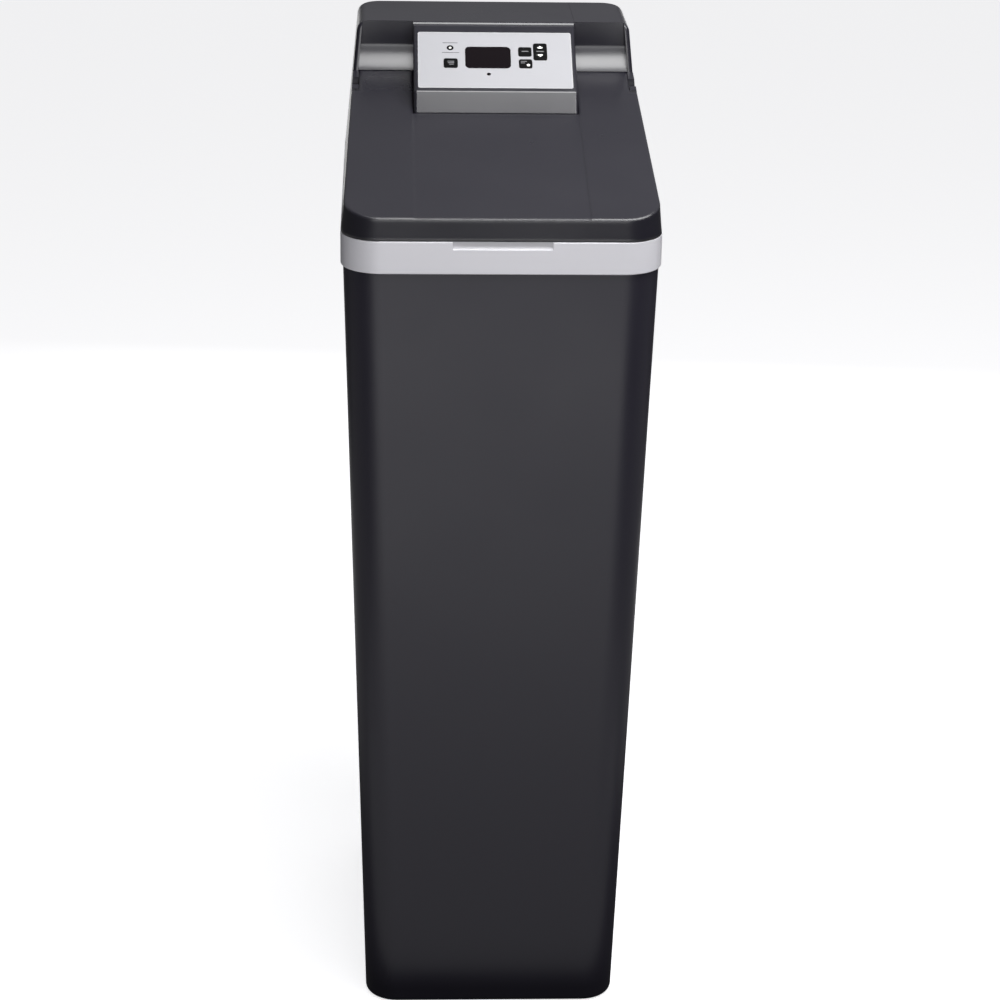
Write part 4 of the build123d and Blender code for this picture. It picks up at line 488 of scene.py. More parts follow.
@dataclass(frozen=True)
class WoundTank(Surface):
    """Glass-fibre roving wound over a plastic liner and set in epoxy.

    Bands cross at the winding angle, so the wall shows a shallow diamond weave under gloss.

    Attributes:
        band_mm: Width of a wound band.
        angle_deg: Winding angle from the tank's axis.
        radius_mm: Radius of the tank.
        axis_mm: Place of the tank's axis.
        ior: IOR of the epoxy.
        roughness: Roughness of the epoxy.
        shades: Darkest and lightest colour of the bands, as shares of the colour.
        band_range: Values of the crossing waves between which the shade changes.
        depth_mm: Depth of the weave.
    """

    name: str = "glass_fibre_wound_epoxy"
    colour: str = "#1d3350"
    band_mm: float = 9.0
    angle_deg: float = 55.0
    radius_mm: float = 114.3
    axis_mm: tuple[float, float] = (30.0, 115.0)
    ior: float = 1.55
    roughness: float = 0.34
    shades: tuple[float, float] = (0.6, 1.5)
    band_range: tuple[float, float] = (-0.5, 1.0)
    depth_mm: float = 0.15

    def winding(
        self, tree: bpy.types.NodeTree, turn: bpy.types.NodeSocket, height: bpy.types.NodeSocket,
        side: int,
    ) -> bpy.types.NodeSocket:
        """Make the wave across one set of parallel bands.

        Args:
            tree: Node tree of the material.
            turn: Angle round the tank's axis.
            height: Height along the axis.
            side: 1 for bands that rise to the right, -1 for the others.

        Returns:
            The wave, from -1 to 1.
        """
        pitch = 2 * math.pi / (self.band_mm * MM)
        angle = math.radians(self.angle_deg)
        strands = round(self.radius_mm * MM * math.sin(angle) * pitch)
        rise = add_node(
            tree, "ShaderNodeMath", {1: side * pitch * math.cos(angle)}, {0: height},
            operation="MULTIPLY",
        )
        phase = add_node(
            tree, "ShaderNodeMath", {1: float(strands)}, {0: turn, 2: rise.outputs["Value"]},
            operation="MULTIPLY_ADD",
        )
        wave = add_node(
            tree, "ShaderNodeMath", None, {0: phase.outputs["Value"]}, operation="SINE"
        )
        return wave.outputs["Value"]

    def dress(
        self, tree: bpy.types.NodeTree, shader: bpy.types.Node, where: bpy.types.NodeSocket
    ) -> None:
        """Give the shader two crossing windings.

        Args:
            tree: Node tree of the material.
            shader: Its Principled shader.
            where: Object coordinates of the point that is shaded.
        """
        shader.inputs["IOR"].default_value = self.ior
        shader.inputs["Roughness"].default_value = self.roughness
        centred = add_node(
            tree, "ShaderNodeMapping",
            {"Location": (-self.axis_mm[0] * MM, -self.axis_mm[1] * MM, 0.0)},
            {"Vector": where},
        )
        parts = add_node(
            tree, "ShaderNodeSeparateXYZ", None, {"Vector": centred.outputs["Vector"]}
        )
        turn = add_node(
            tree, "ShaderNodeMath", None, {0: parts.outputs["Y"], 1: parts.outputs["X"]},
            operation="ARCTAN2",
        )
        left, right = [
            self.winding(tree, turn.outputs["Value"], parts.outputs["Z"], side) for side in (-1, 1)
        ]
        weave = add_node(tree, "ShaderNodeMath", None, {0: left, 1: right}, operation="MAXIMUM")
        shade = add_node(
            tree, "ShaderNodeMapRange",
            {"From Min": self.band_range[0], "From Max": self.band_range[1]},
            {"Value": weave.outputs["Value"]},
        )
        base = linear(self.colour)
        mix = add_node(
            tree, "ShaderNodeMix",
            {MIX_A: scaled(base, self.shades[0]), MIX_B: scaled(base, self.shades[1])},
            {MIX_SHARE: shade.outputs["Result"]}, data_type="RGBA",
        )
        tree.links.new(mix.outputs[MIX_RESULT], shader.inputs["Base Color"])
        bump = add_node(
            tree, "ShaderNodeBump",
            {"Strength": 1.0, "Distance": self.depth_mm * MM},
            {"Height": shade.outputs["Result"]},
        )
        tree.links.new(bump.outputs["Normal"], shader.inputs["Normal"])


@dataclass(frozen=True)
class ResinBeads(Surface):
    """Bed of amber ion-exchange beads, drawn coarser than they are so that they show.

    Attributes:
        bead_mm: Drawn size of a bead.
        depth_mm: Depth between beads, which is the real size of a bead.
        painted_gap_shade: Painted shade at bead edges and in the gaps, as a share of the beads'
            colour.
        roughness: Roughness of the wet beads.
    """

    name: str = "ion_exchange_resin"
    colour: str = "#b5781f"
    bead_mm: float = 2.0
    depth_mm: float = 0.6
    painted_gap_shade: float = 0.35
    roughness: float = 0.45

    def dress(
        self, tree: bpy.types.NodeTree, shader: bpy.types.Node, where: bpy.types.NodeSocket
    ) -> None:
        """Give the shader packed beads, with painted shade darkening their edges and the gaps.

        Args:
            tree: Node tree of the material.
            shader: Its Principled shader.
            where: Object coordinates of the point that is shaded.
        """
        shader.inputs["Roughness"].default_value = self.roughness
        cells = add_node(
            tree, "ShaderNodeTexVoronoi", {"Scale": per_metre(self.bead_mm)}, {"Vector": where}
        )
        base = linear(self.colour)
        # Painted shade: darker from each bead's middle to its edge and into the gaps.
        mix = add_node(
            tree, "ShaderNodeMix",
            {MIX_A: base, MIX_B: scaled(base, self.painted_gap_shade)},
            {MIX_SHARE: cells.outputs["Distance"]}, data_type="RGBA",
        )
        tree.links.new(mix.outputs[MIX_RESULT], shader.inputs["Base Color"])
        bump = add_node(
            tree, "ShaderNodeBump",
            {"Strength": 1.0, "Distance": self.depth_mm * MM},
            {"Height": cells.outputs["Distance"]}, invert=True,
        )
        tree.links.new(bump.outputs["Normal"], shader.inputs["Normal"])


class Finish(Enum):
    """Every finish of the softener, by what it is made of and how."""

    # A dull skin, faintly waxy, that draws the light out into long soft streaks.
    CABINET = MouldedPlastic(
        "polyethylene_blow_moulded_charcoal", "#24222d", 0.40, ior=1.51, grain_mm=1.3,
        grain_depth_mm=0.016, tone=0.06, tone_mm=220.0, polish=0.03,
    )
    # Pale and even, so that the rim reads as one light band.
    RIM = MouldedPlastic(
        "abs_fine_textured_pale_grey", "#dcdbe1", 0.38, ior=1.53, grain_mm=0.7,
        grain_depth_mm=0.008, tone=0.02, polish=0.03,
    )
    # Glossier than the cabinet. The softened edges catch the light along the lid's front.
    LID = MouldedPlastic(
        "abs_fine_textured_charcoal", "#1d1c24", 0.30, ior=1.53, grain_mm=0.8,
        grain_depth_mm=0.010, tone=0.05, polish=0.03, specular=0.8, soft_edge_mm=6.0,
    )
    # The lid's plastic with crisp edges, so that the control pod keeps its outline.
    COVER = MouldedPlastic(
        "abs_fine_textured_charcoal_cover", "#1d1c24", 0.30, ior=1.53, grain_mm=0.8,
        grain_depth_mm=0.010, tone=0.05, polish=0.03, specular=0.8,
    )
    # An even grey under a satin face with hardly any grain.
    FACEPLATE = MouldedPlastic(
        "polycarbonate_film_back_printed", "#a5a5a9", 0.36, ior=1.58, grain_mm=0.5,
        grain_depth_mm=0.004, tone=0.012, specular=0.25,
    )
    # Deep black with little gloss, against which the printed lines stand out.
    KEY = MouldedPlastic(
        "silicone_rubber_key_black", "#070708", 0.32, ior=1.43, grain_mm=0.5,
        grain_depth_mm=0.004, specular=0.2,
    )
    # A plain dark satin.
    NYLON = MouldedPlastic("nylon_moulded_black", "#18181a", 0.42, ior=1.53)
    # Milky white, hardly clouded.
    WHITE = MouldedPlastic(
        "polypropylene_moulded_natural", "#dcdcd6", 0.40, ior=1.49, tone=0.03
    )
    # A smooth white pipe with a wide sheen along it.
    WELL = MouldedPlastic(
        "pvc_extruded_white", "#d9dad6", 0.34, ior=1.54, grain_mm=2.0, tone=0.03
    )
    # Dull and dark, with the glass fibres as a deeper grain.
    VALVE = MouldedPlastic(
        "polyphenylene_oxide_glass_filled", "#1c1c1e", 0.48, ior=1.57, grain_mm=0.6,
        grain_depth_mm=0.02,
    )
    # Creamy, with the slippery sheen of a bearing plastic.
    GEAR = MouldedPlastic("acetal_gear_natural", "#e6e2d3", 0.33, ior=1.48, tone=0.02)
    # The one strong colour, with soft highlights.
    SPOOL = MouldedPlastic("polypropylene_moulded_blue", "#1f4a8c", 0.36, ior=1.49)
    # Green lacquer, mottled by the glass cloth under it.
    BOARD = MouldedPlastic(
        "glass_epoxy_board_green", "#0f5a33", 0.30, ior=1.55, grain_mm=1.2,
        grain_depth_mm=0.01, tone=0.2, tone_mm=9.0,
    )
    # Black that takes almost no highlight.
    RUBBER = MouldedPlastic("epdm_rubber_moulded", "#141414", 0.62, ior=1.52, grain_mm=0.6)
    # Grey metal with fine drawn lines.
    MOTOR = PlainMetal("steel_zinc_plated_can", "#a9abad", 0.34)
    # The same plating, brighter on a small turned part.
    SCREW = PlainMetal("steel_zinc_plated_screw", "#b9bbbd", 0.28)
    # So dark that nothing shows through, with sharp reflections.
    WINDOW = SheerPlastic("acrylic_smoked_window", "#120d10", 0.08, 0.0)
    # Dark and mirror smooth.
    GLASS = MouldedPlastic(
        "glass_display_cell", "#0d0e10", 0.06, ior=1.52, grain_depth_mm=0.0005, coat=0.5,
        coat_roughness=0.03,
    )
    # Nearly colourless, and pale where light passes into it.
    LENS = SheerPlastic("polycarbonate_clear_lens", "#f2f2ee", 0.10, 0.35, ior=1.58)
    # Milky, with what lies behind it only as a shade.
    TUBE = SheerPlastic("polyethylene_tube_natural", "#e3e7e6", 0.28, 0.25, ior=1.51)
    # Dark blue with a diamond pattern of crossing bands.
    TANK = WoundTank()
    # Amber grains, with painted shade darkening their edges and the gaps between them.
    RESIN = ResinBeads()
    # Thin matt films: white on the keys, pale grey round the faceplate, and two darker greys
    # for the lines that stand for lettering.
    WHITE_INK = MouldedPlastic("screen_ink_white", "#f4f4f2", 0.45, tone=0.01)
    PALE_INK = MouldedPlastic("screen_ink_pale_grey", "#b2b2b4", 0.45, tone=0.01)
    GREY_INK = MouldedPlastic("screen_ink_grey", "#7d7d80", 0.45, tone=0.02)
    DARK_INK = MouldedPlastic("screen_ink_dark_grey", "#4c4c50", 0.45, tone=0.02)

    def material(self) -> bpy.types.Material:
        """The finish's material, made the first time that it is asked for."""
        return bpy.data.materials.get(self.value.name) or self.value.make()


SLOT_FINISH: dict[str, Finish] = {
    "cabinet_shell": Finish.CABINET,
    "rim_shell": Finish.RIM,
    "lid_shell": Finish.LID,
    "faceplate_sheet": Finish.FACEPLATE,
    "key_cap": Finish.KEY,
    "display_lens": Finish.WINDOW,
    "display_glass": Finish.GLASS,
    "clear_lens": Finish.LENS,
    "dark_plastic": Finish.NYLON,
    "circuit_board": Finish.BOARD,
    "steel_screw": Finish.SCREW,
    "tank_shell": Finish.TANK,
    "white_plastic": Finish.WHITE,
    "resin_beads": Finish.RESIN,
    "seal_rubber": Finish.RUBBER,
    "valve_plastic": Finish.VALVE,
    "gear_plastic": Finish.GEAR,
    "motor_can": Finish.MOTOR,
    "spool_plastic": Finish.SPOOL,
    "clear_tube": Finish.TUBE,
}
# Nodes whose finish isn't their slot's.
NODE_FINISH: dict[str, Finish] = {
    "brine_well": Finish.WELL,
    "brine_well_cover": Finish.WELL,
    "status_lens": Finish.WINDOW,
}


def dress_solids() -> None:
    """Give every CAD solid the finish of its material slot."""
    slots = {part["node"]: part["material_slot"] for part in frame["record"]["subparts"]}
    for name, solid in frame["nodes"].items():
        finish = NODE_FINISH.get(name, SLOT_FINISH[slots[name]])
        solid.data.materials.clear()
        solid.data.materials.append(finish.material())
        log.info("%s wears %s", name, finish.value.name)


# Shells


@dataclass
class SmoothShell:
    """A large visible shell, copied from its solid, welded and shaded smooth.

    Attributes:
        node: CAD node that the shell stands for.
        body: Body that it rides on.
        slot: Material slot of the record. Not used.
        finish: Its finish.
        smooth_deg: Edges sharper than this stay crisp.
        weld_mm: Distance under which loose corners are joined.
        face_weight: How far large faces rule the shading at their corners, where 50 is neutral.
    """

    node: str
    body: str
    slot: str
    finish: Finish
    smooth_deg: float = 28.0
    weld_mm: float = 0.005
    face_weight: int = 100

    def build(self) -> None:
        """Copy, weld and shade the shell."""
        source = frame["nodes"][self.node]
        shell = source.copy()
        shell.data = source.data.copy()
        bpy.context.scene.collection.objects.link(shell)
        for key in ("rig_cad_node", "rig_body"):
            del shell[key]
        shell.parent = None
        activate(shell)
        bpy.ops.mesh.customdata_custom_splitnormals_clear()
        bpy.ops.object.mode_set(mode="EDIT")
        bpy.ops.mesh.select_all(action="SELECT")
        bpy.ops.mesh.remove_doubles(threshold=self.weld_mm * MM)
        bpy.ops.object.mode_set(mode="OBJECT")
        self.shape(shell)
        settle(
            shell, self.node + "_shell", self.body, self.finish.material(),
            (self.node,), self.smooth_deg,
        )
        activate(shell)
        bpy.ops.object.modifier_add(type="WEIGHTED_NORMAL")
        shell.modifiers[-1].keep_sharp = True
        shell.modifiers[-1].weight = self.face_weight
        bpy.ops.object.modifier_apply(modifier=shell.modifiers[-1].name)

    def shape(self, shell: bpy.types.Object) -> None:
        """Change nothing: a plain shell keeps the form of its solid."""


@dataclass
class RimShell(SmoothShell):
    """The rim, its finger scoop a shallow slope that catches the light.

    Attributes:
        scoop_half_mm: Half the scoop's width.
        scoop_radius_mm: Radius of the hollow in the solid.
        scoop_lead_mm: How far the hollow's centre lies in front of the rim.
        slack_mm: How far a vertex of the hollow may lie off that radius and width.
        depth_share: Part of the hollow's depth that stays.
        height_share: Part of the hollow's height that stays.
    """

    scoop_half_mm: float = 58.0
    scoop_radius_mm: float = 18.0
    scoop_lead_mm: float = 3.0
    slack_mm: float = 0.1
    depth_share: float = 0.3
    height_share: float = 0.55

    def shape(self, shell: bpy.types.Object) -> None:
        """Flatten the hollow towards the rim's top front edge.

        Args:
            shell: The rim's welded copy.
        """
        front = min(vertex.co.y for vertex in shell.data.vertices)
        top = max(vertex.co.z for vertex in shell.data.vertices)

        def in_hollow(corners: list[Vector]) -> bool:
            """Tell whether a vertex lies on the arc of the hollow.

            Args:
                corners: The vertex's place, alone in a list.

            Returns:
                True where the vertex is part of the hollow.
            """
            spot = corners[0]
            reach = math.hypot(spot.y - front + self.scoop_lead_mm * MM, spot.z - top)
            on_arc = abs(reach - self.scoop_radius_mm * MM) < self.slack_mm * MM
            return on_arc and abs(spot.x) < (self.scoop_half_mm + self.slack_mm) * MM

        edit(shell, Part.VERTEX, in_hollow)
        bpy.ops.transform.resize(
            value=(1.0, self.depth_share, self.height_share), center_override=(0.0, front, top)
        )
        bpy.ops.object.mode_set(mode="OBJECT")


# Control panel


@dataclass(frozen=True)
class Bar:
    """One short printed line that stands for a word.

    Attributes:
        name: Name of the mark.
        node: Node that it is printed on or beside.
        body: Body that it rides on. One that rides on the housing is on the faceplate.
        shift_mm: Place from the node's middle, across and up the panel.
        size_mm: Width and height.
    """

    name: str
    node: str
    body: str
    shift_mm: tuple[float, float]
    size_mm: tuple[float, float]


BARS = (
    Bar("rocker_line", "rocker_key", "rocker", (0.0, 0.2), (9.0, 1.3)),
    Bar("select_line", "select_key", "select", (0.2, 0.3), (8.6, 1.3)),
    Bar("water_line_upper", "water_key", "water", (-2.2, 3.4), (7.6, 1.0)),
    Bar("water_line_lower", "water_key", "water", (-3.4, 0.8), (5.0, 1.0)),
    Bar("recharge_line_upper", "recharge_key", "recharge", (0.0, 2.6), (8.4, 1.1)),
    Bar("recharge_line_middle", "recharge_key", "recharge", (0.2, 0.0), (8.0, 1.1)),
    Bar("recharge_line_lower", "recharge_key", "recharge", (1.0, -2.6), (5.6, 1.1)),
    Bar("lamp_line_upper", "lamp_bezel", "housing", (0.0, 8.6), (18.6, 0.9)),
    Bar("lamp_line_lower", "lamp_bezel", "housing", (0.4, -8.4), (21.6, 0.9)),
)


@dataclass
class ControlPanel:
    """Printed marks on the faceplate and the keys.

    Places are x across the panel and y up its slope, from the middle of the faceplate. A mark
    is a thin film of ink that starts just under the face that it is printed on.

    Attributes:
        slope_deg: Slope of the panel.
        ink_mm: How far a mark stands over its face.
        root_mm: How far a mark reaches into its face.
        corner_steps: Short edges that round a corner of a mark.
        border_mm: Width of the pale line round the faceplate.
        border_gap_mm: Bare strip of the faceplate outside that line.
        plate_corner_mm: Corner radius of the faceplate.
        arrow_mm: Width of an arrow head on the rocker key.
        arrow_height: Height of the head, as a share of its width.
        arrow_corner: Size of the head's corners, as a share of its width.
        shaft_length: Length of the short shaft, as a share of the head's width.
        shaft_taper: Width of the shaft's end, as a share of the head's width.
        arrow_up_mm: Place of the upper arrow over the key's middle.
        arrow_down_mm: Place of the lower arrow under the key's middle.
        house_mm: Width and height of the small house.
        house_corner_mm: Size of its corners.
        house_shift_mm: Its place from the middle of the water key.
        bar_corner: Size of a bar's corners, as a share of its height.
        at: Matrix from the panel's own frame to the model's, worked out from the faceplate.
    """

    slope_deg: float = 32.0
    ink_mm: float = 0.05
    root_mm: float = 0.15
    corner_steps: int = 3
    border_mm: float = 1.1
    border_gap_mm: float = 0.2
    plate_corner_mm: float = 2.5
    arrow_mm: float = 7.6
    arrow_height: float = 0.45
    arrow_corner: float = 0.05
    shaft_length: float = 0.14
    shaft_taper: float = 0.62
    arrow_up_mm: float = 8.0
    arrow_down_mm: float = 7.6
    house_mm: tuple[float, float] = (4.6, 4.4)
    house_corner_mm: float = 0.25
    house_shift_mm: tuple[float, float] = (3.4, -2.6)
    bar_corner: float = 0.3
    at: Matrix = field(init=False)

    def __post_init__(self) -> None:
        """Work out the panel's own frame from the faceplate's box."""
        slope = Matrix.Rotation(math.radians(self.slope_deg), 4, "X")
        self.at = Matrix.Translation(middle("faceplate")) @ slope

    def points_of(self, node: str) -> list[Vector]:
        """A node's vertices in the panel's frame."""
        return [self.at.inverted() @ point.co for point in frame["nodes"][node].data.vertices]

    def place_of(self, node: str) -> Vector:
        """Middle of a node across and up the panel, with the height of its outer face.

        Args:
            node: CAD node on the panel.

        Returns:
            Place in the panel's frame, in metres.
        """
        spot = self.at.inverted() @ middle(node)
        return Vector((spot.x, spot.y, max(point.z for point in self.points_of(node))))

    def finish_mark(
        self, piece: bpy.types.Object, name: str, spot: Vector, body: str, ink: Finish
    ) -> None:
        """Give a flat outline its film thickness and lay it on its face.

        Args:
            piece: Flat mesh in the plane z = 0.
            name: Name of the mark.
            spot: Its place in the panel's frame.
            body: Body that it rides on.
            ink: Its ink.
        """
        activate(piece)
        bpy.ops.object.mode_set(mode="EDIT")
        bpy.ops.mesh.select_all(action="SELECT")
        bpy.ops.mesh.extrude_region_move(
            TRANSFORM_OT_translate={"value": (0, 0, (self.ink_mm + self.root_mm) * MM)}
        )
        bpy.ops.mesh.select_all(action="SELECT")
        bpy.ops.mesh.normals_make_consistent(inside=False)
        bpy.ops.object.mode_set(mode="OBJECT")
        place(piece, self.at @ Matrix.Translation(spot - Vector((0, 0, self.root_mm * MM))))
        settle(piece, name, body, ink.material())

    def outline(
        self, sides: int, size_mm: tuple[float, float], corner_mm: float, turn_deg: float = 0.0
    ) -> bpy.types.Object:
        """Model a flat polygon of a given width and height with rounded corners.

        Args:
            sides: Number of sides.
            size_mm: Width and height.
            corner_mm: Size of the corners.
            turn_deg: Turn of the polygon before it is fitted.

        Returns:
            The flat outline in the plane z = 0.
        """
        deselect_all()
        bpy.ops.mesh.primitive_circle_add(
            vertices=sides, radius=MM, fill_type="NGON", rotation=(0, 0, math.radians(turn_deg))
        )
        piece = bpy.context.object
        bpy.ops.object.transform_apply(rotation=True)
        columns = [[point.co[axis] for point in piece.data.vertices] for axis in (0, 1)]
        spans = [max(column) - min(column) for column in columns]
        shift = [-(min(column) + span / 2) for column, span in zip(columns, spans)]
        bpy.ops.object.mode_set(mode="EDIT")
        bpy.ops.mesh.select_all(action="SELECT")
        bpy.ops.transform.translate(value=(shift[0], shift[1], 0))
        bpy.ops.transform.resize(
            value=(size_mm[0] * MM / spans[0], size_mm[1] * MM / spans[1], 1),
            center_override=(0, 0, 0),
        )
        bpy.ops.mesh.bevel(offset=corner_mm * MM, segments=self.corner_steps, affect="VERTICES")
        bpy.ops.object.mode_set(mode="OBJECT")
        return piece

    def border(self) -> None:
        """Print the pale line that runs round the faceplate."""
        points = self.points_of("faceplate")
        width, height = [
            (max(point[axis] for point in points) - min(point[axis] for point in points)) / MM
            - 2 * self.border_gap_mm
            for axis in (0, 1)
        ]
        piece = self.outline(4, (width, height), self.plate_corner_mm, SQUARE_DEG)
        edit(piece, Part.FACE, lambda corners: True)
        bpy.ops.mesh.inset(thickness=self.border_mm * MM)
        bpy.ops.mesh.delete(type="FACE")
        bpy.ops.object.mode_set(mode="OBJECT")
        spot = self.place_of("faceplate")
        self.finish_mark(
            piece, "faceplate_border", spot, "housing", Finish.PALE_INK
        )

    def arrow(self, name: str, up: bool) -> None:
        """Print one arrow head with a short shaft on the rocker key.

        Args:
            name: Name of the mark.
            up: Whether it points up the slope.
        """
        size_mm = (self.arrow_mm, self.arrow_mm * self.arrow_height)
        piece = self.outline(3, size_mm, self.arrow_mm * self.arrow_corner)
        width = self.arrow_mm * MM
        low = min(point.co.y for point in piece.data.vertices)
        edit(
            piece, Part.EDGE,
            lambda ends: max(end.y for end in ends) < low + TINY
            and abs(ends[0].x - ends[1].x) > width / 2,
        )
        bpy.ops.mesh.extrude_region_move(
            TRANSFORM_OT_translate={"value": (0, -width * self.shaft_length, 0)}
        )
        bpy.ops.transform.resize(value=(self.shaft_taper, 1, 1), center_override=(0, low, 0))
        bpy.ops.object.mode_set(mode="OBJECT")
        spot = self.place_of("rocker_key")
        if up:
            spot.y += self.arrow_up_mm * MM
        else:
            spot.y -= self.arrow_down_mm * MM
            place(piece, Matrix.Rotation(math.pi, 4, "Z"))
        self.finish_mark(piece, name, spot, "rocker", Finish.WHITE_INK)

    def house(self) -> None:
        """Print the small white house at the lower right of the water key."""
        piece = self.outline(5, self.house_mm, self.house_corner_mm)
        spot = self.place_of("water_key")
        spot.x += self.house_shift_mm[0] * MM
        spot.y += self.house_shift_mm[1] * MM
        self.finish_mark(piece, "water_key_mark", spot, "water", Finish.WHITE_INK)

    def bar(self, bar: Bar) -> None:
        """Print one short line.

        Args:
            bar: The line, its place and its size.
        """
        on_plate = bar.body == "housing"
        face = self.place_of("faceplate" if on_plate else bar.node)
        own = self.place_of(bar.node)
        spot = Vector((own.x + bar.shift_mm[0] * MM, own.y + bar.shift_mm[1] * MM, face.z))
        piece = self.outline(4, bar.size_mm, self.bar_corner * bar.size_mm[1], SQUARE_DEG)
        if on_plate:
            slot, ink = "faceplate_sheet", Finish.DARK_INK
        else:
            slot, ink = "key_cap", Finish.GREY_INK
        self.finish_mark(piece, bar.name, spot, bar.body, ink)

    def build(self) -> None:
        """Print every mark."""
        self.border()
        self.arrow("rocker_arrow_up", True)
        self.arrow("rocker_arrow_down", False)
        self.house()
        for bar in BARS:
            self.bar(bar)


# Studio


@dataclass(frozen=True)
class SoftBox:
    """One soft light, a glowing rectangle that the camera doesn't see.

    Attributes:
        name: Name of the light.
        at: Its place.
        towards: Point that it faces.
        size: Width and height of its face.
        radiance: Brightness of its face, where 1 is a white in the picture.
    """

    name: str
    at: tuple[float, float, float]
    towards: tuple[float, float, float]
    size: tuple[float, float]
    radiance: float

    def hang(self) -> None:
        """Put the light into the scene."""
        data = bpy.data.lights.new(self.name, "AREA")
        data.shape = "RECTANGLE"
        data.size, data.size_y = self.size
        data.energy = self.radiance * math.pi * self.size[0] * self.size[1]
        lamp = bpy.data.objects.new(self.name, data)
        bpy.context.scene.collection.objects.link(lamp)
        lamp.location = self.at
        facing = Vector(self.towards) - Vector(self.at)
        lamp.rotation_euler = facing.to_track_quat("-Z", "Y").to_euler()
        lamp.visible_camera = False


def floor_box(
    name: str, x: float, y: float, size: tuple[float, float], radiance: float
) -> SoftBox:
    """Describe a soft box that lies just over the floor and shines straight up.

    Args:
        name: Name of the light.
        x: Its place across.
        y: Its place in depth.
        size: Width and depth of its face.
        radiance: Brightness of its face.

    Returns:
        The soft box.
    """
    return SoftBox(name, (x, y, BOX_LIFT), (x, y, BOX_AIM), size, radiance)


# The floor itself gives the object no light, so that the dark plastic keeps its tones, and the
# floor boxes stand in for what a pale floor would reflect into it.
BOXES = (
    # The light band across the rounded top of the cover.
    SoftBox("crown_box", (0.55, -0.42, 2.10), (0.55, -0.08, 1.14), (1.6, 0.80), 8.0),
    # The sheen on the lid and the sloping panel.
    SoftBox("front_box", (-0.1, -2.3, 1.75), (0.0, -0.1, 1.1), (1.8, 0.8), 2.7),
    # What the cabinet's front mirrors of the floor, weaker near its foot.
    floor_box("floor_box_far", 0.0, -2.6, (2.2, 1.4), 2.6),
    floor_box("floor_box_middle", 0.0, -1.4, (2.0, 1.0), 0.6),
    floor_box("floor_box_near", 0.0, -0.59, (1.8, 0.62), 0.40),
    # The back and the sides, which only other views show.
    floor_box("floor_box_back", 0.0, 2.0, (2.2, 2.6), 0.5),
    floor_box("floor_box_left", -1.7, 0.0, (2.2, 1.8), 0.2),
    floor_box("floor_box_right", 1.7, 0.0, (2.2, 1.8), 0.2),
    SoftBox("rear_box", (0.2, 2.4, 0.75), (0.0, 0.1, 0.75), (2.2, 0.8), 1.3),
)


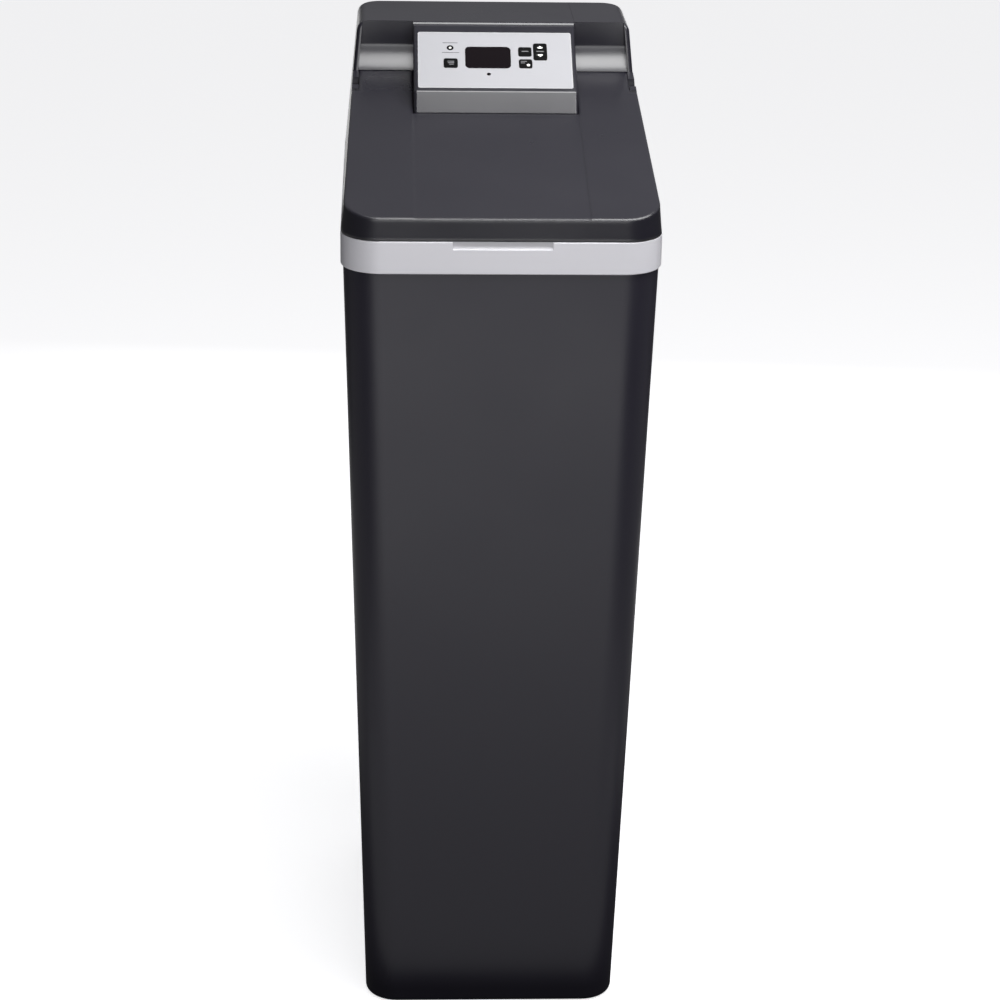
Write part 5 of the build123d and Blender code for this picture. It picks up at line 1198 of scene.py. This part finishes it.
@dataclass
class Studio:
    """Pale floor, soft lights and the camera of the photograph.

    Attributes:
        camera_at: Place of the camera.
        yaw: Turn of the view to the right, in radians.
        pitch: Turn of the view downwards, in radians.
        roll: Roll of the camera, in radians.
        focal_px: Focal length in pixels of a square frame.
        frame_px: Side of that frame in pixels.
        sensor_mm: Width of the sensor.
        clip_end: How far the camera sees, which is past the floor's edge.
        floor_half: Half the floor's side, so large that its edge is the horizon.
        floor_drop: How far the floor lies under the object's foot.
        floor_glow: Light that the floor gives off by itself.
        dark: Brightness of the surroundings.
        bright: Brightness of the wall behind the object.
        behind_range: Y of a direction where the wall begins and where it is full.
        above_range: Z of a direction where the wall begins and where it is full.
    """

    camera_at: tuple[float, float, float] = (-0.13840, -3.37203, 1.93378)
    yaw: float = 0.04500
    pitch: float = 0.37500
    roll: float = 0.01740
    focal_px: float = 2796.14
    frame_px: float = 1000.0
    sensor_mm: float = 36.0
    clip_end: float = 200.0
    floor_half: float = 90.0
    floor_drop: float = 0.0002
    floor_glow: float = 0.78
    dark: float = 0.05
    bright: float = 0.30
    behind_range: tuple[float, float] = (0.1, 0.5)
    above_range: tuple[float, float] = (0.05, 0.25)

    def clear(self) -> None:
        """Take out what a new Blender file starts with."""
        for name in ("Cube", "Light", "Camera"):
            left_over = bpy.data.objects.get(name)
            if left_over:
                bpy.data.objects.remove(left_over)

    def camera(self) -> None:
        """Place the camera and make it the scene's own."""
        level = math.cos(self.pitch)
        ahead = Vector(
            (math.sin(self.yaw) * level, math.cos(self.yaw) * level, -math.sin(self.pitch))
        )
        right = Vector((math.cos(self.yaw), -math.sin(self.yaw), 0.0))
        up = right.cross(ahead)
        tilted_right = right * math.cos(self.roll) + up * math.sin(self.roll)
        tilted_up = up * math.cos(self.roll) - right * math.sin(self.roll)
        data = bpy.data.cameras.new("photo_camera")
        data.sensor_width = self.sensor_mm
        data.lens = self.focal_px / self.frame_px * data.sensor_width
        data.clip_end = self.clip_end
        camera = bpy.data.objects.new("photo_camera", data)
        bpy.context.scene.collection.objects.link(camera)
        turn = Matrix((tilted_right, tilted_up, -ahead)).transposed().to_4x4()
        camera.matrix_world = Matrix.Translation(self.camera_at) @ turn
        bpy.context.scene.camera = camera

    def floor(self) -> None:
        """Lay a wide pale floor that isn't part of the object."""
        deselect_all()
        bpy.ops.mesh.primitive_plane_add(
            size=2 * self.floor_half, location=(0, 0, -self.floor_drop)
        )
        floor = bpy.context.object
        floor.name = "studio_floor"
        # Matt paper, so even that only the object's shadow shows on it.
        paper = MouldedPlastic(
            "paper_backdrop_matt", "#f0f0f1", 0.75, grain_mm=3.0, tone=0.004, polish=0.02
        ).make()
        shader = paper.node_tree.nodes["Principled BSDF"]
        shader.inputs["Emission Color"].default_value = linear("#fbfbfc")
        shader.inputs["Emission Strength"].default_value = self.floor_glow
        floor.data.materials.append(paper)
        floor.visible_diffuse = False
        floor.visible_glossy = False

    def surroundings(self) -> None:
        """Give the world a soft bright wall behind the object and keep the rest dim."""
        world = bpy.context.scene.world or bpy.data.worlds.new("studio")
        bpy.context.scene.world = world
        world.use_nodes = True
        tree = world.node_tree
        back = tree.nodes["Background"]
        back.inputs["Color"].default_value = linear("#f6f6fa")
        way = add_node(tree, "ShaderNodeTexCoord").outputs["Generated"]
        parts = add_node(tree, "ShaderNodeSeparateXYZ", None, {"Vector": way})
        behind, above = [
            add_node(
                tree, "ShaderNodeMapRange", {"From Min": limits[0], "From Max": limits[1]},
                {"Value": parts.outputs[axis]}, interpolation_type="SMOOTHSTEP",
            ).outputs["Result"]
            for axis, limits in (("Y", self.behind_range), ("Z", self.above_range))
        ]
        wall = add_node(tree, "ShaderNodeMath", None, {0: behind, 1: above}, operation="MULTIPLY")
        strength = add_node(
            tree, "ShaderNodeMapRange", {"To Min": self.dark, "To Max": self.bright},
            {"Value": wall.outputs["Value"]},
        )
        tree.links.new(strength.outputs["Result"], back.inputs["Strength"])

    def build(self) -> None:
        """Set up floor, lights, surroundings and camera."""
        self.clear()
        self.floor()
        for box in BOXES:
            box.hang()
        self.surroundings()
        bpy.context.scene.view_settings.view_transform = "Standard"
        self.camera()


def main() -> None:
    """Set up the studio, dress the solids, smooth the shells and print the marks."""
    logging.basicConfig(level=logging.INFO, format="%(name)s: %(message)s")
    Studio().build()
    dress_solids()
    for shell in (
        SmoothShell("cabinet", "housing", "cabinet_shell", Finish.CABINET),
        RimShell("rim", "housing", "rim_shell", Finish.RIM),
        SmoothShell("salt_lid", "lid", "lid_shell", Finish.LID),
        SmoothShell("top_cover", "housing", "lid_shell", Finish.COVER),
    ):
        shell.build()
    ControlPanel().build()


if __name__ == "__main__":
    main()
